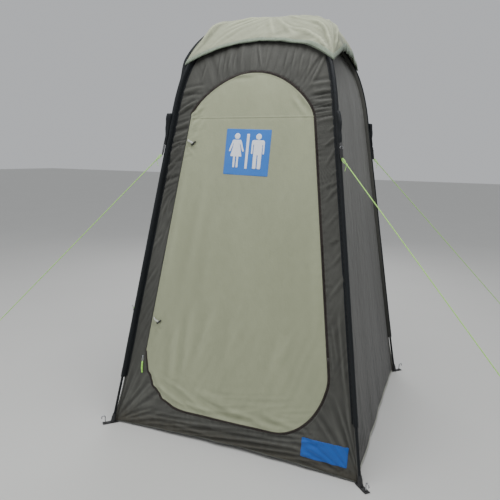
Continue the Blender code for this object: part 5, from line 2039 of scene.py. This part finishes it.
@dataclass
class PoleSleeves:
    """The cloth sleeve up each pole, sewn into the corner seam, and the flat seam under it."""

    form: TentForm
    finishes: Finishes
    front: float = 0.0092
    width: float = 0.0185
    tail: float = 0.0205
    tail_over_netting: float = 0.0180
    wall: float = 0.0009
    sides: int = 20
    tape_columns: Sequence[float] = (0.0084, 0.0064, 0.0044, 0.0024, 0.0006)

    def section(self, tail: float, shrink: float) -> list[Pair]:
        """The sleeve's section as outward and aside distances."""
        half = self.width / 2 - shrink
        front, back = self.front - shrink, tail - shrink * 2.2
        points = []
        for i in range(self.sides):
            angle = 2 * math.pi * (i + 0.5) / self.sides
            out, aside = math.cos(angle), math.sin(angle)
            if out >= 0:
                points.append((out * front, aside * half))
            else:
                taper = 1 - 0.86 * (-out) ** 1.6
                points.append((out * back, math.copysign(abs(aside) ** 0.8, aside) * half * taper))
        return points

    def skin(self, corner: Corner, number: int, rows: Points, shrink: float) -> list[Vector]:
        """Rings of points up one skin of a sleeve, with crumples, and puckers on the outer skin."""
        top = self.form.leg_row(self.form.wall_top_z)
        wobble = soft_noise(rows * 0.02, rows * 0, 0.12, 1.0, 50.0 + number)
        tails = self.tail + (self.tail_over_netting - self.tail) * smoothstep(rows, top - 3, top + 3)
        points = []
        for i, row in enumerate(rows):
            for j, (out, aside) in enumerate(self.section(tails[i], shrink)):
                crumple = 1 + 0.05 * wobble[i] if out > 0 else 1.0
                pucker = 0.0 if shrink else 0.0005 * math.sin(i * 2.1 + j * 1.7 + number)
                points.append(self.form.on_leg(corner, row, out * crumple, aside * crumple + pucker))
        return points

    def build(self) -> None:
        """Builds the four sleeves."""
        form = self.form
        low = np.linspace(form.leg_row(form.sleeve_start_z), form.arch_start, 150)
        rows = np.r_[low, np.arange(form.arch_start + 1, len(form.profile) - 4)]
        for number, corner in enumerate(Corner):
            points = [p for shrink in (0.0, self.wall) for p in self.skin(corner, number, rows, shrink)]
            self.shell(corner, points, rows)
        self.seam_tapes()

    def seam_tapes(self) -> None:
        """Flat black tape on the front and back walls beside each sleeve."""
        form = self.form
        z = np.linspace(form.sleeve_start_z + 0.002, form.wall_top_z - 0.001, 100)[:, None]
        across = np.array([self.tape_columns])
        parts = []
        for side in (Side.FRONT, Side.BACK):
            for sign, end in ((-1, "low"), (1, "high")):
                grid = np.broadcast_arrays(sign * (form.wall_half(z) - across), z)
                name = f"tape_{side.label}_{end}"
                parts.append(Panel(form, side).tape(name, *grid, (across, z), self.finishes.sleeve, 0.0010))
        stands_for(thicken(joined("corner_seam_tapes", parts), 0.0009), TENT)

    def shell(self, corner: Corner, points: Sequence[Vector], rows: Points) -> None:
        """Joins an outer and an inner skin into one hollow sleeve."""
        count, sides = len(rows), self.sides
        base, last = count * sides, (count - 1) * sides
        outer = grid_faces(count, sides, around=True)
        faces = outer + [tuple(base + i for i in reversed(f)) for f in outer]
        for j in range(sides):
            k = (j + 1) % sides
            faces.append((k, j, base + j, base + k))
            faces.append((base + last + k, base + last + j, last + j, last + k))
        run = np.interp(rows, np.arange(len(self.form.profile)), self.form.profile[:, 1])
        uvs = [(0.003 * j, r) for _ in range(2) for r in run for j in range(sides)]
        mesh = mesh_from(f"sleeve_{corner.label}", points, faces, uvs)
        made = new_object(f"sleeve_{corner.label}", mesh, self.finishes.sleeve)
        made.data.materials.append(self.finishes.side_wall)
        toward_side = -corner.value[0] * corner.value[1]
        for face in made.data.polygons[:last]:
            angle = 2 * math.pi * (face.index % sides + 1.0) / sides
            if math.cos(angle) < -0.30 and math.sin(angle) * toward_side > 0.02:
                face.material_index = 1
        stands_for(weld(made), TENT, [f"pole_sleeve_{corner.label}"])


@dataclass
class GuyPoints:
    """The cloth hood on each sleeve, its tab and its ring."""

    form: TentForm
    finishes: Finishes
    low_z: float = 1.385
    high_z: float = 1.532
    ring_z: float = 1.382
    tab_high_z: float = 1.402
    tab_low_z: float = 1.335
    depth: float = 0.022
    near: float = 0.0088
    roundings: Sequence[float] = (0.03, 0.35, 0.10, 0.03)
    rows: int = 30
    sides: int = 14

    def build(self) -> None:
        """Builds a hood, tab and ring at every corner."""
        for corner, rounding in zip(Corner, self.roundings):
            parts = [self.hood(corner, rounding), self.tab(corner), self.ring(corner)]
            made = joined(f"guy_hood_{corner.label}", parts)
            stands_for(made, TENT, [f"guy_point_{corner.label}"])

    def hood(self, corner: Corner, rounding: float) -> Object:
        """The hood: a flattened pocket, cut square at its top and narrowing downwards."""
        points, uvs = [], []
        for i in range(self.rows):
            share = i / (self.rows - 1)
            z = self.high_z + (self.low_z - self.high_z) * share
            reach = self.depth * (1 - 0.68 * share + 0.16 * math.sin(math.pi * min(1.0, share / 0.55)))
            reach *= min(1.0, 0.15 + share / rounding) ** 0.6
            reach += 0.0012 * math.sin(share * 17 + corner.value[0])
            half = 0.0080 - 0.0016 * share + 0.0010 * math.sin(share * 11)
            for j in range(self.sides):
                angle = math.pi * (j / (self.sides - 1)) - math.pi / 2
                out, aside = self.near + reach * math.cos(angle) ** 0.7, half * math.sin(angle)
                points.append(self.form.on_leg(corner, self.form.leg_row(z), out, aside))
                uvs.append((0.003 * j, z))
        mesh = mesh_from("hood", points, grid_faces(self.rows, self.sides), uvs)
        return thicken(weld(new_object("hood", mesh, self.finishes.sleeve)), 0.0011, 0.0)

    def tab(self, corner: Corner) -> Object:
        """The webbing loop under the hood that the guy line is tied to."""
        path, facing = [], []
        for angle in np.linspace(0, math.pi, 22):
            z = self.tab_high_z - (self.tab_high_z - self.tab_low_z) * math.sin(angle) ** 0.5
            out = self.near + 0.0035 + 0.0032 * (1 - math.cos(angle))
            path.append(self.form.on_leg(corner, self.form.leg_row(z), out))
            facing.append((corner.outward * math.cos(angle) + UP * math.sin(angle)).normalized())
        return ribbon("tab", path, facing, 0.013, 0.0012, self.finishes.tape)

    def ring(self, corner: Corner) -> Object:
        """A small wire ring in the tab."""
        centre = self.form.on_leg(corner, self.form.leg_row(self.ring_z), self.near + 0.0100)
        path = ellipse(centre, corner.aside * 0.0075, UP * 0.0055, 25)
        return tube("ring", path, 0.0009, self.finishes.steel, 8)


@dataclass(frozen=True)
class Stretch:
    """A taut line between two points, with its directions."""

    high: Vector
    low: Vector

    @property
    def along(self) -> Vector:
        """Unit direction from the upper end to the lower one."""
        return (self.low - self.high).normalized()

    @property
    def aside(self) -> Vector:
        """Level unit direction across the line."""
        return self.along.cross(UP).normalized()

    @property
    def up(self) -> Vector:
        """Unit direction at right angles to both others."""
        return self.aside.cross(self.along)


@dataclass
class GuyLines:
    """The taut lines with their loops, knots and runners, and the pegs that hold them."""

    form: TentForm
    finishes: Finishes
    beads: Beads
    peg_x: float = 1.62
    peg_y: float = 0.97
    low_z: float = 0.016
    tab_low_z: float = 1.335
    tab_depth: float = 0.012
    sleeve_front: float = 0.0093
    radius: float = 0.0022
    twist: float = 0.016
    strands: Outline = ((0.0, 1), (math.pi, 1), (math.pi / 2, -1), (3 * math.pi / 2, -1))
    end_radius: float = 0.0012
    knot_at: float = 0.030
    runner_share: float = 0.30
    runner_half: float = 0.0125
    runner_radius: float = 0.0065
    runner_levels: Outline = ((-0.0028, 0.86), (-0.0022, 1.0), (0.0022, 1.0), (0.0028, 0.86))

    def stretch(self, corner: Corner) -> Stretch:
        """A line from where it leaves its tab to where it meets its peg."""
        high = self.form.on_leg(corner, self.form.leg_row(self.tab_low_z), self.sleeve_front + self.tab_depth)
        low = self.foot(corner) + UP * self.low_z
        along = (low - high).normalized()
        return Stretch(high + along * 0.001, low - along * 0.0044)

    def foot(self, corner: Corner) -> Vector:
        """Where a corner's peg enters the ground."""
        return Vector((corner.value[0] * self.peg_x, corner.value[1] * self.peg_y, 0))

    def build(self) -> None:
        """Builds the line, runner and peg of each corner."""
        for corner in Corner:
            at = self.stretch(corner)
            stands_for(self.line(corner, at), TENT, [f"guy_line_{corner.label}"])
            stands_for(self.runner(corner, at), TENT, [f"guy_runner_{corner.label}"])
            away = Vector((*at.along.xy, 0)).normalized()
            peg = hooked_peg(f"peg_{corner.label}", self.foot(corner), away, self.finishes.steel)
            stands_for(peg, TENT, [f"guy_peg_{corner.label}"])

    def line(self, corner: Corner, at: Stretch) -> Object:
        """A braided line: its core, its strands, a knot of three turns with its tail, and an eye."""
        high, along, aside, up, neon = at.high, at.along, at.aside, at.up, self.finishes.neon
        length = (at.low - high).length
        path = [high + along * s for s in np.linspace(0, length, 60)]
        knot_at = high + along * self.knot_at
        knot = ellipse(knot_at, aside * 0.0024, up * 0.0024, 60, 3, along * 0.0072)
        fallen = (along * 0.6 - up) * 0.026
        tail = [knot_at + up * 0.0016 + fallen * float(t) for t in np.linspace(0, 1, 8)]
        eye = ellipse(high + along * 0.010 + aside * 0.002, along * 0.013, up * 0.0055, 32)
        parts = [
            tube("core", path, self.radius * 0.86, neon, 10),
            self.braid(at, length),
            tube("knot", knot, 0.0013, neon, 8),
            tube("tail", tail, self.end_radius, neon, 8),
            tube("eye", eye, self.end_radius, neon, 8),
        ]
        return joined(f"line_{corner.label}", parts)

    def braid(self, at: Stretch, length: float) -> Object:
        """The strands round a line's core, two of each hand."""
        s = np.linspace(0.004, length - 0.004, int(length / 0.003))
        lines = []
        for phase, hand in self.strands:
            angle = (phase + hand * 2 * math.pi * s / self.twist)[:, None]
            radial = np.cos(angle) * at.aside + np.sin(angle) * at.up
            lines.append((np.array(at.high) + s[:, None] * at.along + radial * self.radius * 0.92, radial))
        return self.beads.run("braid", lines, 0.0066, (0.0070, 0.0013, 0.0008), self.finishes.neon)

    def runner(self, corner: Corner, at: Stretch) -> Object:
        """The moulded runner: a rounded bar with a hole at each end."""
        along, aside, up, plastic = at.along, at.aside, at.up, self.finishes.plastic
        centre = at.low.lerp(at.high, self.runner_share)
        outline = []
        for end in (1, -1):
            for angle in np.radians(np.linspace(-90, 90, 11)):
                reach = self.runner_half + self.runner_radius * math.cos(angle)
                outline.append((end * reach, end * self.runner_radius * math.sin(angle)))
        points = []
        for level, inset in self.runner_levels:
            points += [centre + along * (a * inset) + aside * (b * inset) + up * level for a, b in outline]
        mesh = mesh_from("runner", points, bar_faces(len(self.runner_levels), len(outline)))
        body = weld(new_object("runner", mesh, plastic))
        for place in (-self.runner_half, self.runner_half):
            path = [centre + along * place + up * h for h in (-0.01, 0.0, 0.01)]
            hole = tube("hole", path, 0.0027, plastic, 14)
            change = body.modifiers.new("hole", "BOOLEAN")
            change.operation, change.solver, change.object = "DIFFERENCE", "EXACT", hole
            settle(body)
            bpy.data.objects.remove(hole, do_unlink=True)
        body.name = f"runner_{corner.label}"
        body.data.shade_smooth()
        body.data.set_sharp_from_angle(angle=math.radians(40))
        return body


def hooked_peg(name: str, foot: Vector, away: Vector, finish: Material) -> Object:
    """The part of a wire peg that stands above the ground, with its hook turned away."""
    radius, height, bend = 0.00288, 0.034, 0.009
    path = [foot + UP * h for h in np.linspace(0.0015, height, 8)]
    centre = foot + UP * height + away * bend
    for angle in np.radians(np.linspace(12, 215, 20)):
        path.append(centre - away * (math.cos(angle) * bend) + UP * (math.sin(angle) * bend))
    return tube(name, path, radius, finish, 14)


@dataclass
class CornerFeet:
    """The boot at each pole's end, on its pegged strap, with the seam's fin above it."""

    form: TentForm
    finishes: Finishes
    strap_length: float = 0.075
    strap_width: float = 0.025
    strap_out: float = 0.012
    peg_out: float = 0.036
    sides: int = 24
    rings: Outline = (
        (0.000, 0.0118), (0.002, 0.0126), (0.008, 0.0124), (0.010, 0.0112), (0.024, 0.0104), (0.026, 0.0112),
        (0.030, 0.0112), (0.032, 0.0096), (0.042, 0.0090), (0.045, 0.0084), (0.045, 0.0048), (0.014, 0.0048),
    )
    rows: int = 40

    @property
    def middle(self) -> float:
        """Distance of a pole's end from the tent's middle."""
        return self.form.foot_half * ROOT_TWO

    def build(self) -> None:
        """Builds the foot of each corner."""
        for corner in Corner:
            peg_foot = corner.outward * (self.middle + self.peg_out)
            peg = hooked_peg("foot_peg", peg_foot, corner.outward, self.finishes.steel)
            made = joined(f"foot_{corner.label}", [self.boot(corner), self.strap(corner), peg])
            stands_for(made, TENT, [f"corner_foot_{corner.label}"])
            self.seam_fin(corner)
            self.sock(corner)

    def boot(self, corner: Corner) -> Object:
        """The moulded cup that holds the pole's end."""
        points = []
        for z, radius in self.rings:
            for j in range(self.sides):
                angle = 2 * math.pi * j / self.sides
                reach = radius * (1.03 if j % 2 and z < 0.03 else 1.0)
                out, aside = reach * math.cos(angle), reach * math.sin(angle)
                points.append(self.form.on_leg(corner, self.form.leg_row(z), out, aside))
        for place in points[: self.sides]:
            place.z = 0.0004
        mesh = mesh_from("boot", points, bar_faces(len(self.rings), self.sides))
        made = new_object("boot", mesh, self.finishes.plastic)
        made.data.set_sharp_from_angle(angle=math.radians(38))
        return weld(made)

    def strap(self, corner: Corner) -> Object:
        """The webbing strap under the boot."""
        path = []
        for t in np.linspace(-0.5, 0.5, 16):
            z = 0.0015 + 0.0012 * smoothstep(abs(t), 0.36, 0.5)
            path.append(corner.outward * (self.middle + self.strap_out + t * self.strap_length) + UP * z)
        return ribbon("foot_strap", path, [UP] * len(path), self.strap_width, 0.0018, self.finishes.tape)

    def heights(self, low: float) -> Points:
        """Heights from a lower one to just inside the sleeve."""
        return np.linspace(low, self.form.sleeve_start_z + 0.004, self.rows)

    def seam_fin(self, corner: Corner) -> None:
        """The seam allowance below the sleeve, which comes out to the pole near the ground."""
        z = self.heights(0.005)[:, None]
        reach = (0.0080 + 0.0055 * fall(z, 0.05, 0.20)) * (0.0, 0.5, 1.0)
        half, level = np.broadcast_arrays(self.form.wall_half(z) + (reach - 0.0006) / ROOT_TWO, z)
        places = np.stack([corner.value[0] * half, corner.value[1] * half, level], axis=-1)
        uvs = np.stack([reach, level], axis=-1)
        name = f"corner_fin_{corner.label}"
        made = grid_sheet(name, places - np.array(corner.aside) * 0.0007, uvs, self.finishes.wall)
        stands_for(weld(thicken(made, 0.0014)), TENT)

    def sock(self, corner: Corner) -> None:
        """The sock over the pole below the sleeve."""
        path = [self.form.on_leg(corner, self.form.leg_row(z)) for z in self.heights(0.044)]
        radii = 0.0061 + 0.0004 * np.sin(2.3 * np.arange(self.rows))
        made = tube(f"pole_sock_{corner.label}", path, radii, self.finishes.sleeve, 14)
        stands_for(made, TENT)


def dress_poles(frame: dict, finishes: Finishes) -> None:
    """Gives every pole node, which keeps its solid, a satin glass fibre finish."""
    for name, node in frame["nodes"].items():
        if name.startswith(("pole_leg", "pole_arch")):
            node.data.materials.clear()
            node.data.materials.append(finishes.rod)
            LOG.info("%s: finish only", name)


@dataclass(frozen=True)
class Studio:
    """The pale floor, the soft light, and the camera at the photograph's view."""

    place: Triple = (0.8727, -2.5272, 1.3449)
    yaw: float = 0.3825
    pitch: float = -0.1872
    roll: float = 0.0205
    focal: float = 498.25
    frame_pixels: float = 500.0
    sensor: float = 36.0
    floor_reach: float = 30.0
    floor_colour: Triple = (0.62, 0.62, 0.60)
    sky: tuple[float, ...] = (0.95, 0.97, 1.0, 1.0)
    sky_strength: float = 0.55
    lit: Triple = (0, 0, 0.9)
    lights: Sequence[tuple[str, Triple, float, float]] = (
        ("overhead", (0.5, -1.1, 3.9), 2.6, 98.0),
        ("camera_side", (-2.4, -3.2, 2.6), 2.4, 30.0),
        ("behind", (-1.2, 3.4, 3.2), 2.6, 50.0),
    )

    def build(self) -> None:
        """Builds the stage."""
        self.camera()
        self.floor()
        self.light()

    def camera(self) -> None:
        """The camera that the photograph was taken with."""
        yaw, pitch, roll = self.yaw, self.pitch, self.roll
        forward = Vector((-math.sin(yaw) * math.cos(pitch), math.cos(yaw) * math.cos(pitch), math.sin(pitch)))
        right = Vector((math.cos(yaw), math.sin(yaw), 0))
        up = right.cross(forward)
        image_right = math.cos(roll) * right + math.sin(roll) * up
        image_up = -math.sin(roll) * right + math.cos(roll) * up
        data = bpy.data.cameras.new("view")
        data.sensor_width = self.sensor
        data.lens = self.sensor * self.focal / self.frame_pixels
        data.clip_end = 100
        made = bpy.data.objects.new("view", data)
        turn = Matrix((image_right, image_up, -forward)).transposed().to_4x4()
        made.matrix_world = Matrix.Translation(self.place) @ turn
        bpy.context.scene.collection.objects.link(made)
        bpy.context.scene.camera = made

    def floor(self) -> None:
        """A wide pale floor."""
        reach = self.floor_reach
        corners = [(-reach, -reach, 0), (reach, -reach, 0), (reach, reach, 0), (-reach, reach, 0)]
        finish = PlainGround("pale_floor", self.floor_colour).make()
        made = new_object("floor", mesh_from("floor", corners, [(0, 1, 2, 3)]), finish)

    def light(self) -> None:
        """An even pale sky, a broad light overhead, and softer ones from the camera's side and behind."""
        world = bpy.data.worlds.new("sky")
        world.use_nodes = True
        background = world.node_tree.nodes["Background"]
        background.inputs["Color"].default_value = self.sky
        background.inputs["Strength"].default_value = self.sky_strength
        bpy.context.scene.world = world
        for name, place, size, power in self.lights:
            data = bpy.data.lights.new(name, "AREA")
            data.energy, data.size = power, size
            made = bpy.data.objects.new(name, data)
            turn = (Vector(self.lit) - Vector(place)).to_track_quat("-Z", "Y").to_matrix().to_4x4()
            made.matrix_world = Matrix.Translation(place) @ turn
            bpy.context.scene.collection.objects.link(made)


def main() -> None:
    """Builds every part of the tent in turn and notes its size."""
    logging.basicConfig(level=logging.INFO, format="%(name)s %(message)s")
    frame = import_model()
    form, doorway = TentForm(), Doorway()
    finishes, beads = Finishes(), Beads()
    Studio().build()
    dress_poles(frame, finishes)
    PlainWalls(form, finishes, beads).build()
    wall = FrontWall(form, doorway, finishes, beads)
    wall.build()
    door = DoorFlap(form, doorway, finishes, beads)
    door.build()
    DoorSign(door, finishes).build()
    DoorToggles(door, finishes).build()
    HingeSeam(form, doorway, finishes).build()
    Zip(wall, door, finishes, beads).build()
    WallLabel(wall, finishes, beads).build()
    Roof(form, finishes, beads).build()
    PoleSleeves(form, finishes).build()
    GuyPoints(form, finishes).build()
    GuyLines(form, finishes, beads).build()
    CornerFeet(form, finishes).build()


if __name__ == "__main__":
    main()
